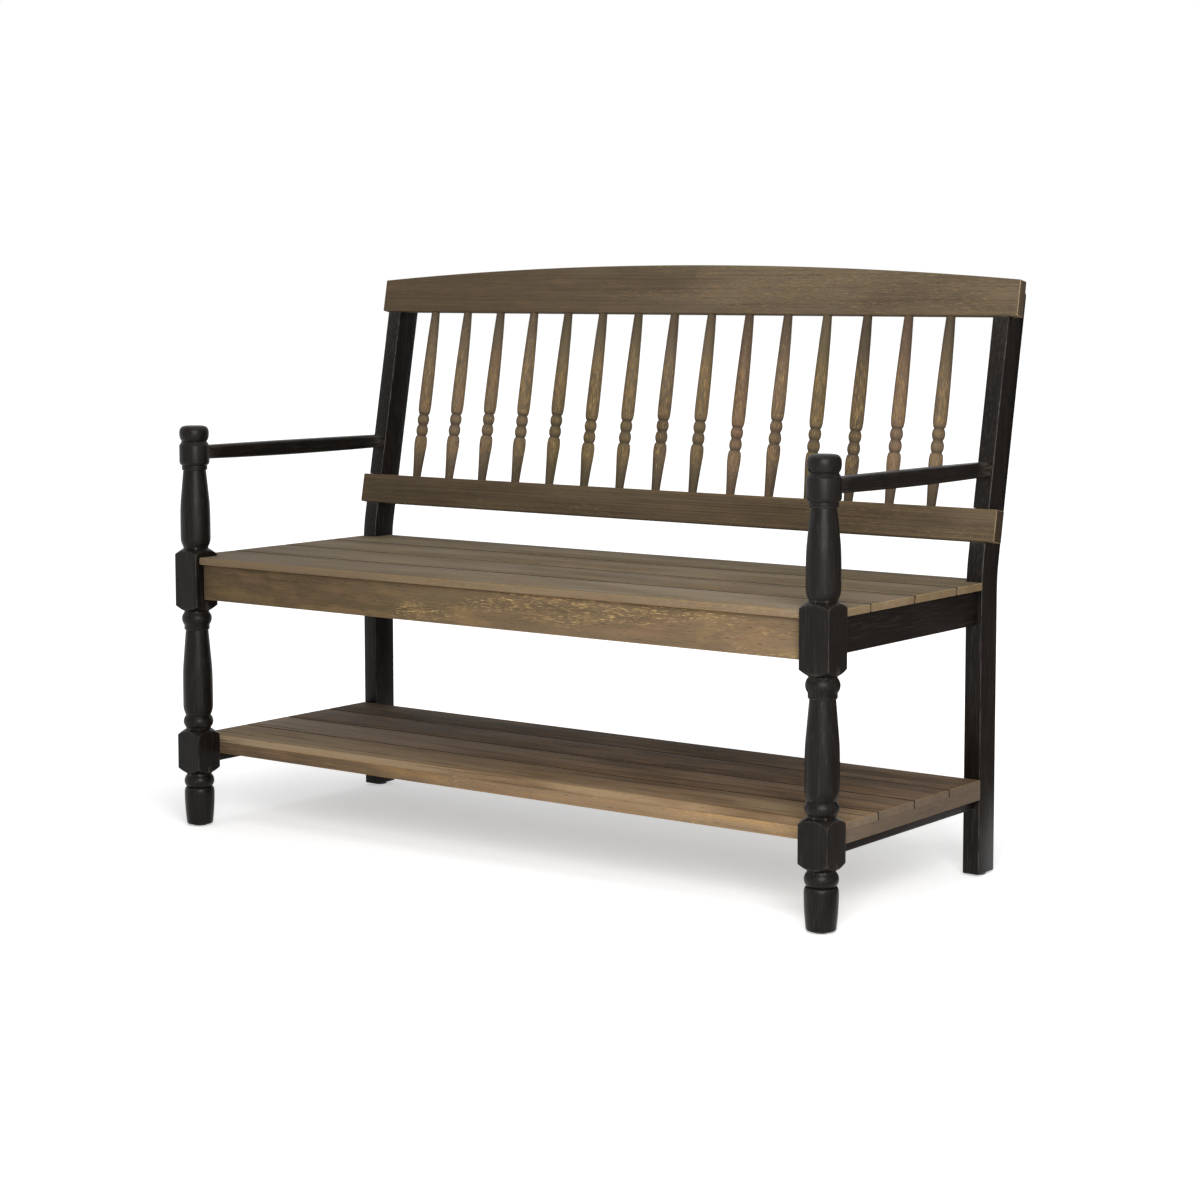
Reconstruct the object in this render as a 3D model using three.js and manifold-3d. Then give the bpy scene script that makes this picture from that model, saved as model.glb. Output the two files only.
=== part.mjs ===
// Deacons bench with turned front posts, a raked spindle back, slim arms and a slatted shelf under the seat.
// Millimetres. +Z is up, +X runs to the right along the seat as seen from the front, and the front faces -Y.
// While the pieces are made, y = 0 is the front face of the posts.
// The last lines centre the bench on its footprint.
import * as THREE from "three";
import { mergeVertices } from "three/addons/utils/BufferGeometryUtils.js";
import Module from "manifold-3d";

const wasm = await Module();
wasm.setup();

// Overall sizes
const postSpacing = 1249.5; // between the axes of the two front posts
const postSize = 50.5; // side of the square blank that a front post is turned from
const seatTop = 461.6; // floor to the top of the seat boards
const shelfTop = 154; // floor to the top of the shelf boards
const legFront = 461.5; // front face of the posts to the front face of the back legs
const bendAboveSeat = 12.4; // where the back legs start to lean
const rake = THREE.MathUtils.degToRad(10.8); // lean of the back

// Clearances and edges
const fit = 0.3; // gap in every joint
const edgeEase = 1.6; // rounded-over long edges and ends of the timbers
const cornerShare = 1.5; // corner radius of a section, as a share of its eased edge

// Back legs and the rails of the back
const legWide = 28.5; // across the bench
const legDeep = 49.5; // front to back
const legTopRound = 8; // rounded rear corner at the top of a leg
const legAboveCrestFoot = 46.5; // how far a leg runs up behind the crest rail
const bendBlend = 26; // half the length of the sawn curve where a leg bends
const railPastLeg = 14; // both rails of the back run this far past the legs
const crestThick = 20;
const crestEndHigh = 57.2; // height of the crest rail at its ends
const crestRise = 25.5; // how much its arch rises in the middle
const lowerRailThick = 24.5;
const lowerRailHigh = 51.2;
const lowerRailAboveBend = 50.8; // along the lean, from the bend to the foot of the lower rail
const openBack = 301.5; // along the lean, from the lower rail to the crest rail

// Spindles
const spindleCount = 15;
const spindleTenon = 12; // depth of a spindle's end in its rail
const spindleTenonDiameter = 12.6;
const spindleShoulder = 0.9; // step from the tenon out to the end of the turning
const spindleSwellDiameter = 22.6;
const spindleBeadDiameter = 21;
const spindleNeckDiameter = 16.8;
const spindleEndGap = 78.5; // inner face of a leg to the axis of the first spindle
const spindleDepth = 8.5; // front faces of the back's rails to the axes of the spindles
const spindleSides = 10;
const boltSides = 8;

// Seat
const boardThick = 12; // seat and shelf boards
const seatNose = 6.7; // front face of the posts to the nose of the seat
const boardGap = 2.5;
const boardCount = 4;
const boardProud = 1.5; // board ends stand proud of the back legs' outer faces
const frontApronHigh = 60;
const frontApronSetback = 17; // behind the front face of the posts
const sideApronHigh = 54.2;
const sideSetback = 8.2; // outer faces of the legs to the outer faces of the side rails
const apronThick = 20;
const backApronInset = 7; // rear face of the legs to the rear face of the back apron
const bearerWide = 22;
const bearerHigh = 35;
const bearerShare = 0.36; // place of a bearer between the middle and a side apron

// Shelf
const shelfRip = 5.8; // the rear shelf board is this much narrower than the others
const shelfRailHigh = 19.5;
const stretcherHigh = 34.7;
const shelfSetback = 1; // gap between the posts and the front edge of the shelf

// Joints
const tenonThick = 10;
const tenonLong = 16;
const tenonShoulder = 7; // the tenon is this much lower than its rail at the top and at the foot
const mortiseWall = 4; // wood left in a post between the mortises of two rails
const armTenonDiameter = 14;
const armTenonLong = 15;
const boltDiameter = 6;
const boltHeadDiameter = 13;
const boltHeadHigh = 4.5;
const boltSocket = 5; // across the corners of the six-sided socket
const boltSocketDeep = 2.6;
const boltGrip = 13; // length of the bolt inside the rail
const boltSpread = 22; // between the two bolts of a joint
const boltFoot = 13; // foot of a rail to its lower bolt

// Arms
const armWide = 24;
const armEndHigh = 22.5;
const armAboveSeat = 175.6; // seat to the centre of the arm's front end
const armDrop = 2.8; // how much lower the centre of its rear end is
const armCrown = 0.6; // how much its top bulges in the middle
const armBelly = 2.4; // how much its underside bulges
const armRound = 5; // rounded long edges

// Glides under the feet
const glideThick = 3;
const glideDiameter = 24;
const glideNailDiameter = 4;
const glideNailLong = 12;

// Front posts: heights of the turned features, stacked up and down from the square blocks
const blockAboveShelf = 2.5;
const blockBelowStretcher = 7;
const blockAboveSeat = 3.4;
const blockBelowApron = 11;
const blockShoulder = 10; // turned slope at each end of a square block
const neckHigh = 2.3; // plain neck between a shoulder and the next bead or vase
const beadHigh = 21.2;
const ringHigh = 8.5; // plain ring between a waist and the bead or collar above it
const ringStep = 2.4; // slope from the waist out to the ring
const footRound = 10; // rounded top of the foot
const collarHigh = 26;
const collarRound = 7.5; // rounded foot of the collar
const collarLip = 1; // the collar stands this far above the arm
const knobNeckHigh = 7;
const knobHigh = 26;

// How far each turned feature is cut in from the face of the square blank
const neckCut = 4.3;
const waistCut = 6.15;
const ringCut = 3.9;
const footCut = 3.4;
const knobCut = 0.4;
const knobFlat = 13.5; // radius of the flat in the middle of the knob's top
const postSides = 20;

// Places worked out from the sizes above
const legCentre = postSpacing / 2;
const legInner = legCentre - legWide / 2;
const legOuter = legCentre + legWide / 2;
const legRear = legFront + legDeep;
const postRadius = postSize / 2;
const postInner = legCentre - postRadius;
const boardEnd = legOuter + boardProud;
const bendHeight = seatTop + bendAboveSeat;
const railHalf = legOuter + railPastLeg;
const armFrontHeight = seatTop + armAboveSeat;
const armRearHeight = armFrontHeight - armDrop;
const seatUnder = seatTop - boardThick;
const shelfUnder = shelfTop - boardThick;
const sideInner = legInner + fit;
const sideOuter = legOuter - sideSetback;
const standing = glideThick + fit;
const lowerRailFoot = lowerRailAboveBend;
const lowerRailTop = lowerRailFoot + lowerRailHigh;
const crestFoot = lowerRailTop + openBack;
const legTop = crestFoot + legAboveCrestFoot;

const stained = new THREE.MeshStandardMaterial({ color: "#6b5e49", roughness: 0.62, metalness: 0 });
const painted = new THREE.MeshStandardMaterial({ color: "#201f1f", roughness: 0.5, metalness: 0 });
const steel = new THREE.MeshStandardMaterial({ color: "#3a3a3b", roughness: 0.4, metalness: 0.8 });
const nylon = new THREE.MeshStandardMaterial({ color: "#2b2422", roughness: 0.55, metalness: 0 });

// Joining and cutting closed shapes

function solidOf(geometry) {
  const bare = geometry.clone();
  bare.deleteAttribute("normal");
  bare.deleteAttribute("uv");
  const merged = mergeVertices(bare);
  return new wasm.Manifold(
    new wasm.Mesh({
      numProp: 3,
      vertProperties: merged.attributes.position.array,
      triVerts: new Uint32Array(merged.index.array),
    }),
  );
}

function geometryOf(solid) {
  const mesh = solid.getMesh();
  const geometry = new THREE.BufferGeometry();
  geometry.setAttribute("position", new THREE.BufferAttribute(mesh.vertProperties, 3));
  geometry.setIndex(new THREE.BufferAttribute(mesh.triVerts, 1));
  const loose = geometry.toNonIndexed();
  loose.computeVertexNormals();
  return loose;
}

function joined(base, additions) {
  return geometryOf(additions.reduce((solid, shape) => solid.add(solidOf(shape)), solidOf(base)));
}

function cut(base, tools) {
  return geometryOf(tools.reduce((solid, tool) => solid.subtract(solidOf(tool)), solidOf(base)));
}

function overlapOf(base, other) {
  return geometryOf(solidOf(base).intersect(solidOf(other)));
}

// Basic timber shapes, given by their ranges along x, y and z

const middleOf = ([low, high]) => (low + high) / 2;
const widened = ([low, high], by) => [low - by, high + by];
const onSide = ([inner, outer], side) => (side > 0 ? [inner, outer] : [-outer, -inner]);

function block({ x, y, z }) {
  const shape = new THREE.BoxGeometry(x[1] - x[0], y[1] - y[0], z[1] - z[0]);
  return shape.translate(middleOf(x), middleOf(y), middleOf(z));
}

function roundedSection([left, right], [foot, top], radius) {
  const shape = new THREE.Shape();
  shape.absarc(right - radius, foot + radius, radius, -Math.PI / 2, 0);
  shape.absarc(right - radius, top - radius, radius, 0, Math.PI / 2);
  shape.absarc(left + radius, top - radius, radius, Math.PI / 2, Math.PI);
  shape.absarc(left + radius, foot + radius, radius, Math.PI, Math.PI * 1.5);
  return shape;
}

const axisX = new THREE.Vector3(1, 0, 0);
const axisY = new THREE.Vector3(0, 1, 0);
const axisZ = new THREE.Vector3(0, 0, 1);
const runAlong = {
  x: new THREE.Matrix4().makeBasis(axisY, axisZ, axisX), // outlines drawn in (y, z)
  y: new THREE.Matrix4().makeBasis(axisZ, axisX, axisY), // outlines drawn in (z, x)
  minusY: new THREE.Matrix4().makeBasis(axisX, axisZ, axisY.clone().negate()), // outlines drawn in (x, z)
};

// An outline given thickness along its run, with its end edges eased and its size kept.
function thickened(outline, run, [from, to], { ease = edgeEase, easeSteps = 1, curveSteps = 1 } = {}) {
  const shape = new THREE.ExtrudeGeometry(outline, {
    depth: to - from - 2 * ease,
    bevelThickness: ease,
    bevelSize: ease,
    bevelOffset: -ease,
    bevelSegments: easeSteps,
    curveSegments: curveSteps,
  });
  return shape.translate(0, 0, from + ease).applyMatrix4(runAlong[run]);
}

// A straight timber along x or y with every edge eased.
function timber({ x, y, z }, run) {
  const [across, up, length] = run === "x" ? [y, z, x] : [z, x, y];
  return thickened(roundedSection(across, up, edgeEase * cornerShare), run, length);
}

function turned(outline, divisions, sides) {
  return new THREE.LatheGeometry(outline.getPoints(divisions), sides).rotateX(Math.PI / 2);
}

// A round peg or hole along y
function peg(diameter, [from, to], x, z) {
  const shape = new THREE.CylinderGeometry(diameter / 2, diameter / 2, to - from, spindleSides);
  return shape.translate(x, middleOf([from, to]), z);
}

const inBack = new THREE.Matrix4()
  .makeTranslation(0, legFront, bendHeight)
  .multiply(new THREE.Matrix4().makeRotationX(-rake));

// Front posts

const turnedTo = (cutIn) => postSize / 2 - cutIn;

// A bead is a parabola from the neck that the outline has reached up to the next neck.
function addBead(outline, crown, neck, top, steps) {
  const foot = outline.currentPoint.y;
  for (let i = 1; i <= steps; i += 1) {
    const share = i / steps;
    const bulge = 4 * share * (1 - share);
    outline.lineTo(neck + (crown - neck) * bulge, foot + (top - foot) * share);
  }
}

// A vase is full in its lower half and draws in to a waist. Heights are shares of its own height.
const vaseShares = { full: 0.12, belly: 0.3, bend: 0.51, taper: 0.61 };

function addVase(outline, full, waist, top) {
  const foot = outline.currentPoint.y;
  const at = (share) => foot + (top - foot) * share;
  const { belly, bend, taper } = vaseShares;
  const taperRadius = full - (full - waist) * ((taper - bend) / (1 - bend));
  outline.quadraticCurveTo(full, at(vaseShares.full / 2), full, at(vaseShares.full));
  outline.lineTo(full, at(belly));
  outline.quadraticCurveTo(full, at(bend), taperRadius, at(taper));
  outline.lineTo(waist, top);
}

function addRing(outline, ring, top) {
  outline.lineTo(ring, outline.currentPoint.y + ringStep);
  outline.lineTo(ring, top);
}

const frontApronY = [frontApronSetback, frontApronSetback + apronThick];
const frontApronZ = [seatUnder - fit - frontApronHigh, seatUnder - fit];
const sideApronZ = [seatUnder - fit - sideApronHigh, seatUnder - fit];
const backApronY = [legRear - backApronInset - apronThick, legRear - backApronInset];
const stretcherZ = [shelfUnder - fit - stretcherHigh, shelfUnder - fit];
const lowerBlockZ = [stretcherZ[0] - blockBelowStretcher, shelfTop + blockAboveShelf];
const upperBlockZ = [frontApronZ[0] - blockBelowApron, seatTop + blockAboveSeat];

function postOutline() {
  const full = turnedTo(0);
  const neck = turnedTo(neckCut);
  const waist = turnedTo(waistCut);
  const ring = turnedTo(ringCut);
  const knob = turnedTo(knobCut);
  const foot = turnedTo(footCut);
  const ankleTop = lowerBlockZ[0] - blockShoulder - neckHigh;
  const footTop = ankleTop - beadHigh;
  const kneeFoot = lowerBlockZ[1] + blockShoulder + neckHigh;
  const hipTop = upperBlockZ[0] - blockShoulder - neckHigh;
  const hipFoot = hipTop - beadHigh;
  const upperVaseFoot = upperBlockZ[1] + blockShoulder + neckHigh;
  const collarTop = armFrontHeight + armEndHigh / 2 + collarLip;
  const collarFoot = collarTop - collarHigh;
  const upperRingTop = collarFoot - collarRound;
  const knobFoot = collarTop + knobNeckHigh;
  const knobMiddle = knobFoot + knobHigh / 2;
  const knobTop = knobFoot + knobHigh;
  const outline = new THREE.Path();
  outline.moveTo(0, standing);
  outline.lineTo(foot - edgeEase, standing);
  outline.lineTo(foot, standing + edgeEase);
  outline.quadraticCurveTo(full, footTop / 2, full, footTop - footRound);
  outline.quadraticCurveTo(full, footTop, neck, footTop);
  addBead(outline, full, neck, ankleTop, 4);
  outline.lineTo(neck, kneeFoot);
  addBead(outline, full, neck, kneeFoot + beadHigh, 4);
  addVase(outline, full, waist, hipFoot - ringHigh);
  addRing(outline, ring, hipFoot);
  addBead(outline, full, ring, hipTop, 4);
  outline.lineTo(neck, upperVaseFoot);
  addVase(outline, full, waist, upperRingTop - ringHigh);
  addRing(outline, ring, upperRingTop);
  outline.quadraticCurveTo(full, upperRingTop, full, collarFoot);
  outline.lineTo(full, collarTop - edgeEase);
  outline.lineTo(full - edgeEase, collarTop);
  outline.lineTo(neck, knobFoot);
  outline.quadraticCurveTo(knob, knobFoot, knob, knobMiddle);
  outline.quadraticCurveTo(knob, knobTop, knobFlat, knobTop);
  outline.lineTo(0, knobTop);
  return outline;
}

// A square block whose ends slope down to the turning all round
function squareBlock([foot, top]) {
  const half = postSize / 2;
  const neck = turnedTo(neckCut);
  const corner = half * Math.SQRT2 - edgeEase / 2;
  const [low, high] = widened([foot, top], blockShoulder);
  const slope = new THREE.Path();
  slope.moveTo(0, low);
  slope.lineTo(neck, low);
  slope.lineTo(corner, foot);
  slope.lineTo(corner, top);
  slope.lineTo(neck, high);
  slope.lineTo(0, high);
  const blank = [-half, half];
  const square = block({ x: blank, y: blank, z: [low, high] });
  return overlapOf(square, turned(slope, 1, postSides));
}

function frontPost(side, mortises) {
  const post = joined(turned(postOutline(), 2, postSides), [
    squareBlock(lowerBlockZ),
    squareBlock(upperBlockZ),
  ]);
  post.translate(side * legCentre, postRadius, 0);
  return cut(post, mortises);
}

// Back legs

function legOutline() {
  const lean = new THREE.Vector2(Math.sin(rake), Math.cos(rake));
  const back = new THREE.Vector2(lean.y, -lean.x);
  const frontBend = new THREE.Vector2(legFront, bendHeight);
  const rearBend = new THREE.Vector2(legRear, bendHeight - legDeep * Math.tan(rake / 2));
  const upFrom = (point, along, behind = 0) =>
    point.clone().addScaledVector(lean, along).addScaledVector(back, behind);
  const topFront = upFrom(frontBend, legTop);
  const roundStart = upFrom(frontBend, legTop, legDeep - legTopRound);
  const topRear = upFrom(frontBend, legTop, legDeep);
  const roundEnd = upFrom(frontBend, legTop - legTopRound, legDeep);
  const frontBlend = upFrom(frontBend, bendBlend);
  const rearBlend = upFrom(rearBend, bendBlend);
  const outline = new THREE.Shape();
  outline.moveTo(legFront, standing);
  outline.lineTo(legRear, standing);
  outline.lineTo(legRear, rearBend.y - bendBlend);
  outline.quadraticCurveTo(rearBend.x, rearBend.y, rearBlend.x, rearBlend.y);
  outline.lineTo(roundEnd.x, roundEnd.y);
  outline.quadraticCurveTo(topRear.x, topRear.y, roundStart.x, roundStart.y);
  outline.lineTo(topFront.x, topFront.y);
  outline.lineTo(frontBlend.x, frontBlend.y);
  outline.quadraticCurveTo(frontBend.x, frontBend.y, legFront, bendHeight - bendBlend);
  return outline;
}

// The housings in which the two rails lie flush with the front of a leg
function railHousings() {
  const across = [-postSpacing, postSpacing];
  const crest = block({
    x: across,
    y: [-legDeep, crestThick + fit],
    z: [crestFoot - fit, crestFoot + crestEndHigh + crestRise],
  });
  const lower = block({
    x: across,
    y: [-legDeep, lowerRailThick + fit],
    z: [lowerRailFoot - fit, lowerRailTop + fit],
  });
  return [crest.applyMatrix4(inBack), lower.applyMatrix4(inBack)];
}

function backLeg(side, mortises) {
  const leg = thickened(legOutline(), "x", onSide([legInner, legOuter], side), { curveSteps: 4 });
  return cut(leg, [...railHousings(), ...mortises]);
}

// Tenons and mortises

const shortened = ([low, high]) => [low + tenonShoulder, high - tenonShoulder];

function centredTenon(range) {
  const middle = middleOf(range);
  return [middle - tenonThick / 2, middle + tenonThick / 2];
}

function mortiseFor({ x, y, z }) {
  return block({ x: widened(x, fit), y: widened(y, fit), z: widened(z, fit) });
}

const sideRun = [postSize + fit, legFront - fit];
const frontMortiseRear = centredTenon(frontApronY)[1] + fit;
const sideTenonRun = [frontMortiseRear + mortiseWall + fit, legFront + tenonLong];

const apronTenon = {
  front: (side) => ({
    x: onSide([postInner - tenonLong, postInner + tenonLong], side),
    y: centredTenon(frontApronY),
    z: shortened(frontApronZ),
  }),
  back: (side) => ({
    x: onSide([legInner - tenonLong, legInner + tenonLong], side),
    y: centredTenon(backApronY),
    z: shortened(sideApronZ),
  }),
  side: (side) => ({
    x: centredTenon(onSide([sideInner, sideOuter], side)),
    y: sideTenonRun,
    z: shortened(sideApronZ),
  }),
  stretcher: (side) => ({
    x: centredTenon(onSide([sideInner, sideOuter], side)),
    y: sideTenonRun,
    z: shortened(stretcherZ),
  }),
};

// Rails along the bench: body between the posts or legs, and a tenon at each end
function longApron(y, z, reach, tenonOf) {
  const inner = reach - fit;
  return joined(timber({ x: [-inner, inner], y, z }, "x"), [block(tenonOf(-1)), block(tenonOf(1))]);
}

// Rails from front to back, tenoned into the post and the leg
function sideRail(side, z, tenonOf) {
  const body = timber({ x: onSide([sideInner, sideOuter], side), y: sideRun, z }, "y");
  return joined(body, [block(tenonOf(side))]);
}

// Arms

const armBackAt = (z) => legFront + (z - bendHeight) * Math.tan(rake);

function armOutline() {
  const half = armEndHigh / 2;
  const middle = middleOf([armFrontHeight, armRearHeight]);
  const crown = middle + half + 2 * armCrown;
  const belly = middle - half - 2 * armBelly;
  const frontEnd = postRadius;
  const rearTop = armRearHeight + half;
  const rearFoot = armRearHeight - half;
  const centre = middleOf([frontEnd, armBackAt(armRearHeight)]);
  const outline = new THREE.Shape();
  outline.moveTo(frontEnd, armFrontHeight - half);
  outline.quadraticCurveTo(centre, belly, armBackAt(rearFoot) - fit, rearFoot);
  outline.lineTo(armBackAt(rearTop) - fit, rearTop);
  outline.quadraticCurveTo(centre, crown, frontEnd, armFrontHeight + half);
  return outline;
}

function armPegs(side, gap) {
  const x = side * legCentre;
  const diameter = armTenonDiameter + 2 * gap;
  const front = [postSize - armTenonLong - gap, postSize + armTenonLong];
  const leg = armBackAt(armRearHeight);
  const rear = [leg - armTenonLong, leg + armTenonLong + gap];
  return [peg(diameter, front, x, armFrontHeight), peg(diameter, rear, x, armRearHeight)];
}

function arm(side) {
  const x = side * legCentre;
  const width = [x - armWide / 2, x + armWide / 2];
  const bar = thickened(armOutline(), "x", width, { ease: armRound, easeSteps: 2, curveSteps: 8 });
  const collar = new THREE.CylinderGeometry(postRadius + fit, postRadius + fit, postSpacing, postSides)
    .rotateX(Math.PI / 2)
    .translate(x, postRadius, armFrontHeight);
  return joined(cut(bar, [collar]), armPegs(side, 0));
}

// Back rails, spindles and their bolts, in the plane of the back: y is the depth behind its front face

const spindlePitch = (2 * (legInner - spindleEndGap)) / (spindleCount - 1);
const spindlePlaces = Array.from(
  { length: spindleCount },
  (_, i) => (i - (spindleCount - 1) / 2) * spindlePitch,
);

// How far each spindle's beads sit above or below their usual height, as shares of the open back
const beadShiftShares = [
  -0.015, -0.006, 0.004, 0.001, 0.011, -0.013, -0.006, 0.006,
  0.006, -0.019, 0.025, -0.009, -0.013, 0.01, 0.017,
];

function uprightPeg(diameter, [from, to], x, y) {
  const shape = new THREE.CylinderGeometry(diameter / 2, diameter / 2, to - from, spindleSides);
  return shape.rotateX(Math.PI / 2).translate(x, y, middleOf([from, to]));
}

function spindleHoles([from, to]) {
  return spindlePlaces.map((x) => uprightPeg(spindleTenonDiameter + 2 * fit, [from, to], x, spindleDepth));
}

const sides = { left: -1, right: 1 };
const boltPlaces = Object.entries(sides).flatMap(([word, side]) => [
  { name: `lower_${word}`, x: side * legCentre, rail: lowerRailFoot, thick: lowerRailThick },
  { name: `crest_${word}`, x: side * legCentre, rail: crestFoot, thick: crestThick },
]);
const boltHeights = (rail) => [rail + boltFoot, rail + boltFoot + boltSpread];

function boltHoles() {
  return boltPlaces.flatMap(({ x, rail, thick }) =>
    boltHeights(rail).map((z) => peg(boltDiameter + 2 * fit, [thick - boltGrip - fit, legDeep * 2], x, z)),
  );
}

function crestOutline() {
  const half = railHalf;
  const shoulder = crestFoot + crestEndHigh;
  const corner = edgeEase * cornerShare;
  const radius = (half * half + crestRise * crestRise) / (2 * crestRise);
  const spread = Math.asin((half - corner) / radius);
  const centre = shoulder + crestRise - radius;
  const outline = new THREE.Shape();
  outline.absarc(-half + corner, crestFoot + corner, corner, Math.PI, Math.PI * 1.5);
  outline.absarc(half - corner, crestFoot + corner, corner, -Math.PI / 2, 0);
  outline.lineTo(half, shoulder - corner);
  outline.absarc(0, centre, radius, Math.PI / 2 - spread, Math.PI / 2 + spread);
  outline.lineTo(-half, shoulder - corner);
  return outline;
}

function crestRail() {
  const slab = thickened(crestOutline(), "minusY", [-crestThick, 0], { curveSteps: 10 });
  const holes = spindleHoles([crestFoot - spindleTenon, crestFoot + spindleTenon + fit]);
  return cut(slab, [...holes, ...boltHoles()]);
}

function lowerRail() {
  const z = [lowerRailFoot, lowerRailTop];
  const body = timber({ x: [-railHalf, railHalf], y: [0, lowerRailThick], z }, "x");
  const holes = spindleHoles([lowerRailTop - spindleTenon - fit, lowerRailTop + spindleTenon]);
  return cut(body, [...holes, ...boltHoles()]);
}

// A spindle is turned as a lower vase, two beads and a long upper vase.
// These heights are shares of the open back.
const spindleShares = {
  lowerSwell: 0.212,
  lowerNeck: 0.262,
  beadWaist: 0.328,
  upperNeck: 0.392,
  upperSwell: 0.46,
  upperTaper: 0.72,
};

function spindleOutline(shift) {
  const at = (share) => lowerRailTop + openBack * (share + shift);
  const tenon = spindleTenonDiameter / 2;
  const end = tenon + spindleShoulder;
  const swell = spindleSwellDiameter / 2;
  const bead = spindleBeadDiameter / 2;
  const neck = spindleNeckDiameter / 2;
  const s = spindleShares;
  const outline = new THREE.Path();
  outline.moveTo(0, lowerRailTop - spindleTenon);
  outline.lineTo(tenon, lowerRailTop - spindleTenon);
  outline.lineTo(tenon, lowerRailTop + fit);
  outline.lineTo(end, lowerRailTop + fit);
  outline.lineTo(swell, at(s.lowerSwell));
  outline.quadraticCurveTo(swell, at(s.lowerNeck), neck, at(s.lowerNeck));
  addBead(outline, bead, neck, at(s.beadWaist), 3);
  addBead(outline, bead, neck, at(s.upperNeck), 3);
  outline.quadraticCurveTo(swell, at(s.upperNeck), swell, at(s.upperSwell));
  outline.quadraticCurveTo(swell, at(s.upperTaper), end, crestFoot - fit);
  outline.lineTo(tenon, crestFoot - fit);
  outline.lineTo(tenon, crestFoot + spindleTenon);
  outline.lineTo(0, crestFoot + spindleTenon);
  return outline;
}

// A connector bolt, head on the rear face of the leg, with a six-sided socket
function bolt(thick, x, z) {
  const shank = boltDiameter / 2;
  const head = boltHeadDiameter / 2;
  const length = legDeep - thick + boltGrip;
  const outline = new THREE.Path();
  outline.moveTo(0, 0);
  outline.lineTo(shank, 0);
  outline.lineTo(shank, length + fit);
  outline.lineTo(head, length + fit);
  outline.quadraticCurveTo(head, length + boltHeadHigh, shank, length + boltHeadHigh);
  outline.lineTo(0, length + boltHeadHigh);
  const body = turned(outline, 1, boltSides);
  const socket = new THREE.CylinderGeometry(boltSocket / 2, boltSocket / 2, 2 * boltSocketDeep, 6)
    .rotateX(Math.PI / 2)
    .translate(0, 0, length + boltHeadHigh);
  const made = cut(body, [socket]);
  return made.rotateX(-Math.PI / 2).translate(x, thick - boltGrip, z);
}

// Boards

// Boards side by side from the front to the rear of a range, with gaps between them.
// The rearmost is ripped narrower than the others.
function boardRanges([front, rear], rip) {
  const pitch = (rear - front + rip + boardGap) / boardCount;
  const edges = Array.from({ length: boardCount }, (_, i) => front + i * pitch);
  return edges.map((edge, i) => [edge, i + 1 < boardCount ? edges[i + 1] - boardGap : rear]);
}

function board(y, z) {
  return timber({ x: [-boardEnd, boardEnd], y, z }, "x");
}

const seatRanges = boardRanges([seatNose, backApronY[1]], 0);
const seatZ = [seatUnder, seatTop];
const pastBoard = [seatUnder - boardThick, seatTop + boardThick];

// What the posts and the back legs take out of the corners of the seat
const atPost = [-postSize, postSize + fit];
const atLeg = [legFront - fit, legRear + legDeep];
const seatNotches = Object.values(sides).flatMap((side) => [
  block({ x: onSide([postInner - fit, postSpacing], side), y: atPost, z: pastBoard }),
  block({ x: onSide([legInner - fit, postSpacing], side), y: atLeg, z: pastBoard }),
]);

const shelfFront = postSize + shelfSetback;
const shelfRear = legFront - fit;
const shelfZ = [shelfUnder, shelfTop];
const shelfRailZ = [shelfUnder - fit - shelfRailHigh, shelfUnder - fit];

const shelfRanges = boardRanges([shelfFront, shelfRear], shelfRip);

// Glides: a disc under the foot and a nail up into it
function glide(x, y) {
  const nail = glideNailDiameter / 2;
  const disc = glideDiameter / 2;
  const rim = glideThick / 2;
  const outline = new THREE.Path();
  outline.moveTo(0, 0);
  outline.lineTo(disc - rim, 0);
  outline.quadraticCurveTo(disc, 0, disc, rim);
  outline.lineTo(disc, glideThick);
  outline.lineTo(nail, glideThick);
  outline.lineTo(nail, glideThick + glideNailLong);
  outline.lineTo(0, glideThick + glideNailLong);
  return turned(outline, 2, spindleSides).translate(x, y, 0);
}

function nailHole(x, y) {
  return uprightPeg(glideNailDiameter + 2 * fit, [0, glideThick + glideNailLong + fit], x, y);
}

// Assembly

const bench = new THREE.Group();
const back = new THREE.Group();
back.applyMatrix4(inBack);
bench.add(back);

function add(name, geometry, material, parent = bench) {
  const mesh = new THREE.Mesh(geometry, material);
  mesh.name = name;
  parent.add(mesh);
}

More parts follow.
